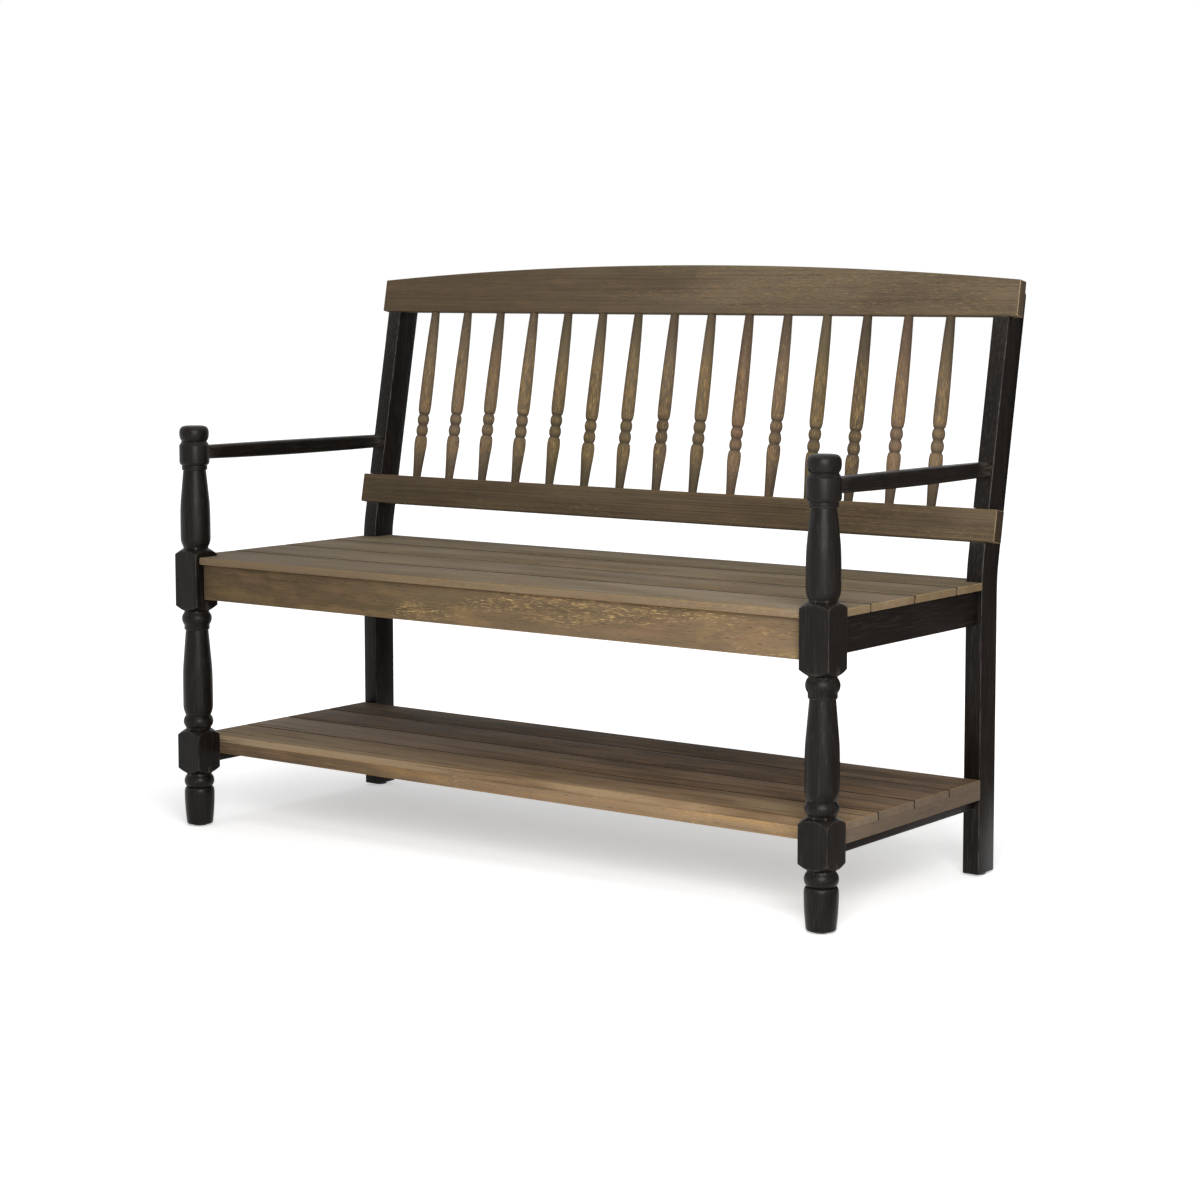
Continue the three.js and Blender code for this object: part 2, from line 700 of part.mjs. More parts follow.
const boltHolesInLegs = boltHoles().map((hole) => hole.applyMatrix4(inBack));
const legMiddle = middleOf([legFront, legRear]);
for (const [word, side] of Object.entries(sides)) {
  const postMortises = [
    mortiseFor(apronTenon.front(side)),
    mortiseFor(apronTenon.side(side)),
    mortiseFor(apronTenon.stretcher(side)),
    armPegs(side, fit)[0],
    nailHole(side * legCentre, postRadius),
  ];
  const legMortises = [
    mortiseFor(apronTenon.back(side)),
    mortiseFor(apronTenon.side(side)),
    mortiseFor(apronTenon.stretcher(side)),
    armPegs(side, fit)[1],
    nailHole(side * legCentre, legMiddle),
    ...boltHolesInLegs,
  ];
  add(`front_post_${word}`, frontPost(side, postMortises), painted);
  add(`back_leg_${word}`, backLeg(side, legMortises), painted);
  add(`arm_${word}`, arm(side), painted);
  add(`seat_side_apron_${word}`, sideRail(side, sideApronZ, apronTenon.side), painted);
  add(`shelf_stretcher_${word}`, sideRail(side, stretcherZ, apronTenon.stretcher), painted);
  add(`glide_front_${word}`, glide(side * legCentre, postRadius), nylon);
  add(`glide_rear_${word}`, glide(side * legCentre, legMiddle), nylon);

  const bearerCentre = side * sideInner * bearerShare;
  const bearerX = [bearerCentre - bearerWide / 2, bearerCentre + bearerWide / 2];
  const seatBearer = {
    x: bearerX,
    y: [frontApronY[1] + fit, backApronY[0] - fit],
    z: [seatUnder - fit - bearerHigh, seatUnder - fit],
  };
  add(`seat_bearer_${word}`, timber(seatBearer, "y"), stained);
  const shelfBearer = {
    x: bearerX,
    y: [shelfFront + apronThick + fit, shelfRear - apronThick - fit],
    z: shelfRailZ,
  };
  add(`shelf_bearer_${word}`, timber(shelfBearer, "y"), stained);
  const trimX = onSide([sideOuter + fit, boardEnd], side);
  const endTrim = { x: trimX, y: [shelfFront, shelfRear], z: shelfRailZ };
  add(`shelf_end_trim_${word}`, timber(endTrim, "y"), stained);
}

add("seat_front_apron", longApron(frontApronY, frontApronZ, postInner, apronTenon.front), stained);
add("seat_back_apron", longApron(backApronY, sideApronZ, legInner, apronTenon.back), stained);

const shelfRailX = [-sideInner + fit, sideInner - fit];
const shelfFrontRail = { x: shelfRailX, y: [shelfFront, shelfFront + apronThick], z: shelfRailZ };
const shelfRearRail = { x: shelfRailX, y: [shelfRear - apronThick, shelfRear], z: shelfRailZ };
add("shelf_front_rail", timber(shelfFrontRail, "x"), stained);
add("shelf_rear_rail", timber(shelfRearRail, "x"), stained);

for (let i = 0; i < boardCount; i += 1) {
  add(`seat_board_${i + 1}`, cut(board(seatRanges[i], seatZ), seatNotches), stained);
  add(`shelf_board_${i + 1}`, board(shelfRanges[i], shelfZ), stained);
}

add("crest_rail", crestRail(), stained, back);
add("lower_back_rail", lowerRail(), stained, back);
spindlePlaces.forEach((x, i) => {
  const name = `spindle_${String(i + 1).padStart(2, "0")}`;
  const shape = turned(spindleOutline(beadShiftShares[i]), 2, spindleSides);
  add(name, shape.translate(x, spindleDepth, 0), stained, back);
});
for (const { name, x, rail, thick } of boltPlaces) {
  boltHeights(rail).forEach((z, i) => {
    add(`back_bolt_${name}_${i + 1}`, bolt(thick, x, z), steel, back);
  });
}

// The origin is on the floor, at the centre of the bench's footprint.
const reach = new THREE.Box3().setFromObject(bench, true);
bench.position.y = -middleOf([reach.min.y, reach.max.y]);

export default bench;
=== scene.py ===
# %% [markdown]
# A deacons bench: turned front posts, a leaning spindle back, slim arms, a slatted seat and a
# slatted shelf. The solids from the CAD model give every size and place. This script loads them as
# a fixed frame, models each piece again with the softness of real timber, and gives each one the
# finish that its maker gave it.

# %% Load the frame
import math

import bmesh
import bpy
from mathutils import Matrix, Vector


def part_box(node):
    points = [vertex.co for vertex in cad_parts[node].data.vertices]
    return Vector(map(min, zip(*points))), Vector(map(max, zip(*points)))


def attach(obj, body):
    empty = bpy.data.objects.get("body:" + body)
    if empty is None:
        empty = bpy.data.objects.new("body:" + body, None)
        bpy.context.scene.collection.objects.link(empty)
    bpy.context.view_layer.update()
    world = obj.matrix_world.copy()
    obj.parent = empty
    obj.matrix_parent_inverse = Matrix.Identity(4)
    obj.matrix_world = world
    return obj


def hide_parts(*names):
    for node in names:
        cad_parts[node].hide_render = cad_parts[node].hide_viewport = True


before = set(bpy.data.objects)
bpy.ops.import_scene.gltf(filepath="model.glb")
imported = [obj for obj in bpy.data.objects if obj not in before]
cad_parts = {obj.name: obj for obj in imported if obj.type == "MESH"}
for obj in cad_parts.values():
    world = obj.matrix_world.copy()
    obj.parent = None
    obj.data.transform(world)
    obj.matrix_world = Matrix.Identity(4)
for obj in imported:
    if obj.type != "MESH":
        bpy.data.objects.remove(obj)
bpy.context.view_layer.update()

# %% [markdown]
# Lengths are written in millimetres, as on a workshop drawing, and Blender works in metres. One
# function changes a length, so no other line has to think about it.

# %% Millimetres to metres
MM = 0.001


def mm(*lengths):
    metres = tuple(length * MM for length in lengths)
    return metres if len(metres) > 1 else metres[0]


# %% [markdown]
# The edit-mode operators act on whatever is selected. The loader leaves the CAD nodes selected, so
# each piece starts with nothing selected, and each helper leaves Blender in object mode when it is
# done.

# %% Selecting
def nothing_selected():
    if bpy.context.object and bpy.context.object.mode == "EDIT":
        bpy.ops.object.mode_set(mode="OBJECT")
    bpy.ops.object.select_all(action="DESELECT")


def work_on(piece):
    nothing_selected()
    piece.select_set(True)
    bpy.context.view_layer.objects.active = piece


def choose(piece, what, test):
    """Goes into edit mode with only the vertices, edges or faces that pass the test selected."""
    work_on(piece)
    bpy.ops.object.mode_set(mode="EDIT")
    bpy.ops.mesh.select_mode(type={"verts": "VERT", "edges": "EDGE", "faces": "FACE"}[what])
    bpy.ops.mesh.select_all(action="DESELECT")
    mesh = bmesh.from_edit_mesh(piece.data)
    for item in getattr(mesh, what):
        if test(item):
            item.select_set(True)
    mesh.select_flush_mode()
    bmesh.update_edit_mesh(piece.data)


def edit(piece, what, test, operator, **settings):
    """Runs one operator on what passes the test, and goes back to object mode."""
    choose(piece, what, test)
    operator(**settings)
    bpy.ops.object.mode_set(mode="OBJECT")


# %% [markdown]
# A finished piece keeps its place in its mesh, with its object at the origin, because patterns on
# object coordinates would slide otherwise. Applying all three transforms does that.

# %% Settling a piece at the origin
def settle(piece):
    work_on(piece)
    bpy.ops.object.transform_apply(location=True, rotation=True, scale=True)


def apply_modifier(piece, kind, **settings):
    work_on(piece)
    modifier = piece.modifiers.new(kind.lower(), kind)
    for name, value in settings.items():
        setattr(modifier, name, value)
    bpy.ops.object.modifier_apply(modifier=modifier.name)


# %% [markdown]
# Every timber starts as a cube at its real size and place. Its sharp edges are then eased with a
# bevel of a few segments, as a maker takes them off with sandpaper. A boolean does the same job as
# a saw or a drill, and it is safest with a cutter that reaches well past what it cuts.

# %% Timber, easing, sawing and drilling
def timber(name, low, high):
    nothing_selected()
    middle = [(a + b) / 2 for a, b in zip(low, high)]
    bpy.ops.mesh.primitive_cube_add(size=1, location=middle)
    piece = bpy.context.object
    piece.name = name
    piece.scale = [b - a for a, b in zip(low, high)]
    settle(piece)
    return piece


def ease(piece, width, segments=3, sharper_than=30):
    apply_modifier(
        piece,
        "BEVEL",
        width=mm(width),
        segments=segments,
        limit_method="ANGLE",
        angle_limit=math.radians(sharper_than),
        use_clamp_overlap=True,
    )


def ease_some(piece, width, segments, test):
    """Eases only the edges whose two ends pass the test."""
    both_ends = lambda e: test(e.verts[0].co) and test(e.verts[1].co)
    edit(piece, "edges", both_ends, bpy.ops.mesh.bevel, offset=mm(width), segments=segments)


def saw(piece, tool, operation="DIFFERENCE"):
    apply_modifier(piece, "BOOLEAN", object=tool, operation=operation, solver="EXACT")
    bpy.data.objects.remove(tool)


def shade(piece, angle):
    work_on(piece)
    bpy.ops.object.shade_smooth_by_angle(angle=math.radians(angle))


def rod(diameter, start, end, sides=32):
    """A plain cylinder from one point to another, to cut a hole with."""
    nothing_selected()
    along = Vector(end) - Vector(start)
    bpy.ops.mesh.primitive_cylinder_add(
        vertices=sides,
        radius=diameter / 2,
        depth=along.length,
        location=(Vector(start) + Vector(end)) / 2,
        rotation=along.to_track_quat("Z", "Y").to_euler(),
    )
    settle(bpy.context.object)
    return bpy.context.object


def as_one(pieces):
    nothing_selected()
    for piece in pieces:
        piece.select_set(True)
    bpy.context.view_layer.objects.active = pieces[0]
    bpy.ops.object.join()
    return pieces[0]


def copied(piece, name, shift):
    """A copy with its own mesh, moved and settled."""
    work_on(piece)
    bpy.ops.object.duplicate(linked=False)
    twin = bpy.context.object
    twin.name = name
    twin.location = shift
    settle(twin)
    return twin


# %% [markdown]
# Turned work is made as on the lathe: half of the outline is drawn from the foot to the top, then
# spun once round. The outline is drawn by extruding a single vertex from point to point. Curves
# between the points are worked out by formula, so a bead is round from any distance. A lone vertex
# stays selected only in vertex mode, so that mode is set first. Spinning can leave the faces
# pointing inwards and the seam open, so doubles are merged and the normals worked out again.

# %% Drawing an outline and turning it
def curve(outline, control, end, steps=8):
    """Adds a quadratic curve from the outline's last point, as (radius, height) pairs."""
    start = outline[-1]
    for i in range(1, steps + 1):
        t = i / steps
        a, b, c = (1 - t) ** 2, 2 * t * (1 - t), t * t
        outline.append(tuple(a * s + b * m + c * e for s, m, e in zip(start, control, end)))


def bead(outline, crown, neck, top, steps=12):
    """Adds a round bead from the outline's last height up to the top."""
    foot = outline[-1][1]
    for i in range(1, steps + 1):
        t = i / steps
        outline.append((neck + (crown - neck) * 4 * t * (1 - t), foot + (top - foot) * t))


def turned(name, outline, x, y, steps=56):
    nothing_selected()
    radius, height = outline[0]
    bpy.ops.mesh.primitive_plane_add(size=mm(1), location=mm(x + radius, y, height))
    piece = bpy.context.object
    piece.name = name
    settle(piece)
    work_on(piece)
    bpy.ops.object.mode_set(mode="EDIT")
    bpy.ops.mesh.select_mode(type="VERT")
    bpy.ops.mesh.select_all(action="SELECT")
    bpy.ops.mesh.merge(type="CENTER")
    for (r0, z0), (r1, z1) in zip(outline, outline[1:]):
        step = mm(r1 - r0, 0, z1 - z0)
        bpy.ops.mesh.extrude_vertices_move(TRANSFORM_OT_translate={"value": step})
    bpy.ops.mesh.select_all(action="SELECT")
    bpy.ops.mesh.spin(steps=steps, angle=2 * math.pi, center=mm(x, y, 0), axis=(0, 0, 1))
    bpy.ops.mesh.select_all(action="SELECT")
    bpy.ops.mesh.remove_doubles(threshold=mm(0.01))
    bpy.ops.mesh.normals_make_consistent(inside=False)
    bpy.ops.object.mode_set(mode="OBJECT")
    return piece


# %% [markdown]
# The main sizes below are the bench's own. The places come from the CAD boxes, so the pieces land
# where the solids are. The posts stand 1249.5 mm apart, and a leg stands behind each of them.

# %% Sizes that several pieces share
GAP = 0.3
POST = 50.5
POST_CENTRE = 624.75
ENDS = {"left": -POST_CENTRE, "right": POST_CENTRE}
LEG_WIDE = 28.5
LEG_DEEP = 49.5
RAKE = math.radians(10.8)

post_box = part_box("front_post_left")
leg_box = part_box("back_leg_left")
seat_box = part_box("seat_board_1")
shelf_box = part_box("shelf_board_1")

POST_Y = post_box[0][1] / MM + POST / 2
LEG_FRONT = leg_box[0][1] / MM
LEG_REAR = LEG_FRONT + LEG_DEEP
SEAT_TOP = seat_box[1][2] / MM
SHELF_TOP = shelf_box[1][2] / MM
BEND = SEAT_TOP + 12.4
GLIDE_THICK = 3
STANDING = GLIDE_THICK + GAP
NAIL = 4
NAIL_TOP = GLIDE_THICK + 12
ARM_HIGH = 22.5
ARM_ABOVE_SEAT = 175.6
print(f"post axis y {POST_Y:.1f}, leg front y {LEG_FRONT:.1f} mm")
print(f"seat {SEAT_TOP:.1f}, shelf {SHELF_TOP:.1f} mm above the floor")

# %% [markdown]
# The back leans by 10.8 degrees. Its rails, spindles and bolts are drawn upright first, with y as
# the depth behind the front of the legs and z as the height above the bend. One matrix then leans
# them all together.

# %% Leaning the back
lean_matrix = Matrix.Translation(mm(0, LEG_FRONT, BEND)) @ Matrix.Rotation(-RAKE, 4, "X")


def leaned(piece):
    piece.matrix_world = lean_matrix @ piece.matrix_world
    settle(piece)
    return piece


LOWER_FOOT = 50.8
LOWER_TOP = LOWER_FOOT + 51.2
CREST_FOOT = LOWER_TOP + 301.5
CREST_THICK = 20
LOWER_THICK = 24.5
RAIL_HALF = POST_CENTRE + LEG_WIDE / 2 + 14

# %% [markdown]
# Each finished piece takes the place of its CAD node, rides on the bench's one body, and takes its
# material. The pieces are kept in a list, so the last cells can count them.

# %% Handing a piece in
made = []


def hand_in(piece, node, material, angle=32):
    shade(piece, angle)
    piece.data.materials.clear()
    piece.data.materials.append(material)
    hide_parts(node)
    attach(piece, "root")
    made.append(piece)


def hand_in_pair(left, node, material, angle):
    """Hands in a piece of the left end, and a copy of it at the right end."""
    right = copied(left, left.name.replace("left", "right"), mm(2 * POST_CENTRE, 0, 0))
    hand_in(left, node, material, angle)
    hand_in(right, node.replace("left", "right"), material, angle)


# %% [markdown]
# Colours are written as they look on a screen, as sRGB hex values, and the shader wants them
# linear. One small function adds a shader node, sets its options and fills its inputs, either in
# the order in which the node shows them or by name. A material then reads as a list of steps.

# %% Colour and node helpers
def rgb(hex_colour):
    parts = [int(hex_colour[i : i + 2], 16) / 255 for i in (1, 3, 5)]
    linear = [p / 12.92 if p <= 0.04045 else ((p + 0.055) / 1.055) ** 2.4 for p in parts]
    return (*linear, 1)


def add_node(tree, kind, inputs=(), output=None, **options):
    """Adds a node. An input is a plain value or another node's output. Returns the output that is
    named, or else the first one that the node shows."""
    node = tree.nodes.new("ShaderNode" + kind)
    for name, value in options.items():
        setattr(node, name, value)
    if isinstance(inputs, dict):
        pairs = [(node.inputs[name], value) for name, value in inputs.items()]
    else:
        pairs = zip([socket for socket in node.inputs if socket.enabled], inputs)
    for socket, value in pairs:
        if isinstance(value, bpy.types.NodeSocket):
            tree.links.new(value, socket)
        else:
            socket.default_value = value
    if output:
        return node.outputs[output]
    return next((socket for socket in node.outputs if socket.enabled), None)


def new_material(name):
    material = bpy.data.materials.new(name)
    material.use_nodes = True
    tree = material.node_tree
    tree.nodes.clear()
    return material, tree


def finish_material(tree, inputs):
    shader = add_node(tree, "BsdfPrincipled", inputs)
    add_node(tree, "OutputMaterial", {"Surface": shader})


# %% [markdown]
# Wood grain is noise that is stretched along the board: fibres run for centimetres in length and
# only a millimetre or so across. The stretch is a Mapping node, and another one turns the pattern
# with the piece.

# %% Grain
GRAIN_ALONG = {"x": 0, "y": 1, "z": 2}


def grain_coordinates(tree, turn=(0, 0, 0)):
    """Object coordinates in metres, turned so that the grain lies on one axis."""
    place = add_node(tree, "TexCoord", output="Object")
    return add_node(tree, "Mapping", {"Vector": place, "Rotation": turn})


def stretched_noise(
    tree, coordinates, along, across_mm, along_mm, detail, roughness=0.5, shift=0.0
):
    """Noise whose blobs are across_mm wide and along_mm long."""
    scale = [1000 / across_mm] * 3
    scale[GRAIN_ALONG[along]] = 1000 / along_mm
    stretch = {"Vector": coordinates, "Scale": scale, "Location": [shift] * 3}
    place = add_node(tree, "Mapping", stretch)
    noise = {"Vector": place, "Scale": 1.0, "Detail": detail, "Roughness": roughness}
    return add_node(tree, "TexNoise", noise)


# %% [markdown]
# A finish is built up in coats, as at the bench. A coat covers only where its conditions hold. Each
# condition is a value, such as a noise, and the two levels between which the cover goes from none
# to full, or from one given share to another. Where a coat has several conditions, their shares are
# multiplied.

# %% Masks and coats
def where(tree, *conditions):
    """Each condition is (value, low, high), and the shares at low and high if not 0 and 1."""
    shares = [add_node(tree, "MapRange", c, interpolation_type="SMOOTHSTEP") for c in conditions]
    mask = shares[0]
    for other in shares[1:]:
        mask = add_node(tree, "Math", (mask, other), operation="MULTIPLY")
    return mask


def coat(tree, below, hex_colour, *conditions):
    covered = where(tree, *conditions)
    return add_node(tree, "Mix", (covered, below, rgb(hex_colour)), data_type="RGBA")


# %% [markdown]
# Edges wear first. On straight timber, an eased edge is the only place where the surface faces
# between two axes, so the largest part of the surface normal tells where the edges are: it is 1 on
# a flat face and falls to 0.7 in the middle of an eased edge. On the leaning back the normal is
# turned upright first. Wear starts where that part drops under the first of two levels, and is full
# at the second.

# %% Where the edges and the ends are
EDGE_WORN = (0.985, 0.86)


def squareness(tree, turn=(0, 0, 0)):
    normal = add_node(tree, "NewGeometry", output="Normal")
    upright = add_node(tree, "Mapping", {"Vector": normal, "Rotation": turn}, vector_type="VECTOR")
    bare = add_node(tree, "VectorMath", (upright,), operation="ABSOLUTE")
    x, y, z = add_node(tree, "SeparateXYZ", (bare,)).node.outputs
    most = add_node(tree, "Math", (x, y), operation="MAXIMUM")
    return add_node(tree, "Math", (most, z), operation="MAXIMUM")


def facing(tree, axis):
    """How far the surface turns along an axis: -1 on a front or left face, 1 on a rear or right
    one."""
    normal = add_node(tree, "NewGeometry", output="Normal")
    return add_node(tree, "SeparateXYZ", (normal,), axis)


# %% [markdown]
# The stain gathers in the grooves and on the slim ends of turned work, and rubs off its fullest
# parts. The dark there is also a painted shade, in the grooves between the beads and where the
# ends go into the rails. So the spindles' wood asks how far a spot lies from the axis of its own
# spindle, and is darker the slimmer it is there. They stand at one pitch, so the distance aside is
# wrapped at that pitch, and the number of whole pitches gives each one its own tint.

# %% Distance from a spindle's axis, and a chance number of its own
def spindle_radius(tree, place, pitch, axis_y):
    x, y, _ = add_node(tree, "SeparateXYZ", (place,)).node.outputs
    aside = add_node(tree, "Math", (x, pitch / 2, -pitch / 2), operation="WRAP")
    behind = add_node(tree, "Math", (y, axis_y), operation="SUBTRACT")
    spot = add_node(tree, "CombineXYZ", (aside, behind))
    pitches = add_node(tree, "Math", (x, pitch), operation="DIVIDE")
    count = add_node(tree, "Math", (pitches,), operation="ROUND")
    chance = add_node(tree, "TexWhiteNoise", {"W": count}, noise_dimensions="1D")
    return add_node(tree, "VectorMath", (spot,), operation="LENGTH"), chance


# %% [markdown]
# Acacia or a like tropical hardwood, sawn, sanded and wiped with a grey-brown stain, which gives
# the eye a dull, uneven brown with a life of its own. The stain sits deep in the pores and thin on
# the ridges, so the wood shows through as short ochre scratches along the grain, in patches on the
# faces. Rosy and pale blotches come from the wood itself, and long streaks from its growth rings.
# Sawn ends take the stain in another way than faces do, and the corners there are rubbed pale. Real
# pores are a fifth of a millimetre wide. They are drawn over a millimetre wide here, so that they
# show in a picture of the whole bench.

# %% Stained hardwood
ROSY_WOOD = "#84654d"
RING_DARK = "#3b2f23"
PORE_DARK = "#2e271e"
BARE_WOOD = "#cdac72"
BARE_CORNER = "#ad9878"
BARE_TURNING = "#b08b58"
REDDISH_TINT = "#76584a"
OLIVE_TINT = "#6c6039"
GROOVE_STAIN_AND_SHADE = "#372f26"


def stained_hardwood(
    name,
    stain,
    deep,
    ochre,
    shift,
    streaks,
    along="x",
    turn=(0, 0, 0),
    flecks=0.5,
    band=9,
    blotches=0.5,
    rubbed=0.4,
    front=None,
    left_end_shade_and_tone=None,
    turning=None,
    ends=None,
    corner_wear=0.2,
):
    """Along is the direction of the grain, turn sets the pattern upright on a leaning piece, and
    shift moves it, so that no two boards have the same one. The colour for the left end is mostly
    a painted shade, darker where the light falls off away from the right end, and on two shelf
    boards the wood's own greyer tone. Front and ends are a colour and its cover; the front colour
    is, on most boards, the painted shade of the gap in front of them. Turning is the spindles'
    pitch and axis."""
    material, tree = new_material(name)
    place = grain_coordinates(tree, turn)
    cloud = stretched_noise(tree, place, along, 55, 300, 3.0, 0.55, shift)
    blotch = stretched_noise(tree, place, along, 32, 95, 2.0, 0.5, shift + 17)
    streak = stretched_noise(tree, place, along, band, 380, 4.0, 0.62, shift + 3)
    fibre = stretched_noise(tree, place, along, 1.6, 60, 3.0, 0.6, shift + 5)
    pore = stretched_noise(tree, place, along, 1.3, 14, 2.0, 0.5, shift + 7)
    fleck = stretched_noise(tree, place, along, 0.7, 14, 2.0, 0.5, shift + 11)
    patch = stretched_noise(tree, place, along, 45, 220, 2.0, 0.5, shift + 13)

    colour = coat(tree, rgb(deep), stain, (cloud, 0.32, 0.68))
    # The left end colour is mostly painted shade, darker where the light falls off away from the
    # right end; on two shelf boards it is the wood's greyer tone.
    if left_end_shade_and_tone:
        x = add_node(tree, "SeparateXYZ", (place,))
        to_left = where(tree, (x, 0.1, -0.45))
        colour = add_node(tree, "Mix", (to_left, colour, rgb(left_end_shade_and_tone)), data_type="RGBA")
        fewer = where(tree, (to_left, 1.0, 0.0, -0.35, 0.05))
        patch = add_node(tree, "Math", (patch, fewer), operation="ADD")
    colour = coat(tree, colour, ROSY_WOOD, (blotch, 0.5, 0.75, 0.0, blotches))
    colour = coat(tree, colour, ochre, (blotch, 0.5, 0.25, 0.0, blotches * 0.7))
    colour = coat(tree, colour, RING_DARK, (streak, 0.5, 0.68, 0.0, streaks))
    colour = coat(tree, colour, ochre, (streak, 0.46, 0.3, 0.0, streaks * 0.8))
    colour = coat(tree, colour, ochre, (fibre, 0.45, 0.75, 0.0, 0.25))
    colour = coat(tree, colour, PORE_DARK, (pore, 0.6, 0.74, 0.0, 0.5))
    scratched = [(fleck, 0.58, 0.68, 0.0, flecks), (patch, 0.45, 0.6, 0.05, 1.0)]
    colour = coat(tree, colour, BARE_WOOD, *scratched)
    if turning:
        radius, chance = spindle_radius(tree, place, *turning)
        colour = coat(tree, colour, REDDISH_TINT, (chance, 0.5, 1.0, 0.0, 0.26))
        colour = coat(tree, colour, OLIVE_TINT, (chance, 0.5, 0.0, 0.0, 0.22))
        # Stain and painted shade: the slimmer the spindle, the darker, in the grooves and at the
        # ends in the rails.
        colour = coat(tree, colour, GROOVE_STAIN_AND_SHADE, (radius, *mm(10.8, 7.2), 0.0, 0.55))
        rubbed_through = [(radius, *mm(9.4, 11)), (fleck, 0.5, 0.64, 0.0, 0.55)]
        colour = coat(tree, colour, BARE_TURNING, *rubbed_through)
    else:
        edge = [(squareness(tree, turn), *EDGE_WORN), (streak, 0.35, 0.6, 0.25, rubbed)]
        colour = coat(tree, colour, ochre, *edge)
    # Forward-facing faces take a colour: on most boards a painted shade for the gap in front of
    # them, on the first seat board its own tone.
    if front:
        colour = coat(tree, colour, front[0], (facing(tree, "Y"), -0.1, -0.45, 0.0, front[1]))
    if ends:
        aside = add_node(tree, "Math", (facing(tree, "X"),), operation="ABSOLUTE")
        corner = [(aside, 0.4, 0.6, 0.0, corner_wear), (aside, 0.9, 0.75)]
        corner += [(streak, 0.42, 0.56, 0.3, 1.0)]
        colour = coat(tree, colour, BARE_CORNER, *corner)
        colour = coat(tree, colour, ends[0], (aside, 0.85, 0.97, 0.0, ends[1]))

    rough = where(tree, (cloud, 0.3, 0.7, 0.86, 0.74))
    dents = where(tree, (pore, 0.6, 0.74, 0.0, -0.5))
    relief = add_node(tree, "Math", (fibre, 0.5, dents), operation="MULTIPLY_ADD")
    bump = add_node(tree, "Bump", {"Height": relief, "Strength": 0.35, "Distance": mm(0.25)})
    surface = {"Base Color": colour, "Roughness": rough, "Normal": bump}
    finish_material(tree, {**surface, "IOR": 1.5, "Specular IOR Level": 0.15})
    return material


# %% [markdown]
# No two boards of a bench come from the same plank, so each has its own stain, and a part of the
# pattern that no other board has. Where one board meets the next, its front edge is painted dark, a
# painted shade for the gap. The colours are those of each board, rail and trim of this bench. The
# left end of most pieces is painted darker, a painted shade where the light falls off away from the
# right end; on the first two shelf boards the left end is the wood's own greyer tone.

# %% The woods of the bench
BACK_TURN = (RAKE, 0, 0)
# Painted shade: the front faces of the boards behind the first are painted dark, for the shade in
# the gap between boards.
GAP_SHADE = ("#241c13", 1.0)
NOSE = ("#7d6346", 0.35)
SEAT_STAINS = [
    ("#857a69", "#6c6251"), ("#7b6f5e", "#635848"), ("#7a6e5b", "#635745"), ("#746957", "#5e5441")
]
# The shelf's stains darken from the front board to the back one, partly the wood and partly painted
# shade under the seat.
SHELF_STAINS = [
    ("#978063", "#6d5841", "#97856b"), ("#7a654f", "#534436", "#918170"),
    ("#6f5b4b", "#4c3f33", "#5c5044"), ("#645342", "#44382d", "#43392e"),
]
seat_woods = [
    stained_hardwood(
        f"hardwood_stained_grey_brown_seat_{i}", stain, deep, "#94784e",
        shift=20.0 * i, streaks=0.25, blotches=0.3, rubbed=0.6,
        front=NOSE if i == 1 else GAP_SHADE, left_end_shade_and_tone="#6f6454" if i == 1 else None,
        ends=("#8a704d", 0.4), corner_wear=0.5,
    )
    for i, (stain, deep) in enumerate(SEAT_STAINS, start=1)
]
shelf_woods = [
    stained_hardwood(
        f"hardwood_stained_brown_shelf_{i}", stain, deep, "#94724a",
        shift=2.0 + 20.0 * i, streaks=0.8, flecks=0.3,
        front=None if i == 1 else GAP_SHADE, left_end_shade_and_tone=left,
        ends=("#695e51", 0.7), corner_wear=0.4,
    )
    for i, (stain, deep, left) in enumerate(SHELF_STAINS, start=1)
]
shelf_rail_wood = stained_hardwood(
    "hardwood_stained_pale_shelf_rail", "#8f785d", "#7d674f", "#b08955",
    shift=3.0, rubbed=0.6, left_end_shade_and_tone="#594a3a", streaks=0.3, flecks=0.8,
)
apron_wood = stained_hardwood(
    "hardwood_stained_rubbed_apron", "#72604a", "#5f503d", "#93774e",
    shift=4.0, flecks=0.9, streaks=0.2, blotches=0.42, left_end_shade_and_tone="#574935",
)
crest_wood = stained_hardwood(
    "hardwood_stained_olive_crest", "#655947", "#54493a", "#7b6447",
    turn=BACK_TURN, shift=6.0, streaks=0.3, band=4, blotches=0.15, flecks=0.2, rubbed=0.25,
    left_end_shade_and_tone="#534737", ends=("#43362a", 0.65), corner_wear=0.75,
)
lower_wood = stained_hardwood(
    "hardwood_stained_olive_lower_rail", "#5a4e3d", "#4b4031", "#765f41",
    turn=BACK_TURN, shift=16.0, streaks=0.75, band=2.0, blotches=0.1, flecks=0.15, rubbed=0.25,
    ends=("#2e2319", 0.85), corner_wear=0.65,
)
cross_wood = stained_hardwood(
    "hardwood_stained_cross_rail", "#6f6254", "#5e5246", "#84694a",
    along="y", shift=9.0, streaks=0.15, blotches=0.25, flecks=0.05,
)

# %% [markdown]
# Satin black paint, brushed over sanded hardwood and rubbed through to grey at the edges. To the
# eye it is a warm black with a soft shine, which changes a little where it was handled. The grain
# still shows as a fine relief under the paint, more on straight stock than on turned work, which is
# sanded as it spins. Its fibres are drawn 2 mm wide, several times the real width, so that they
# show. The straight stock wears at its eased edges, and the turned work where the mesh itself is
# sharp, as at the corners of a post's blocks and the crowns of its beads. There the grey is also a
# painted highlight, for the corners and crowns that catch the light.

# %% Black paint
PAINT_BLACK = "#0b0907"
PAINT_THIN = "#120e0b"
PAINT_RIDGE = "#2e2926"
PAINT_WEAR_AND_HIGHLIGHT = "#4e4740"


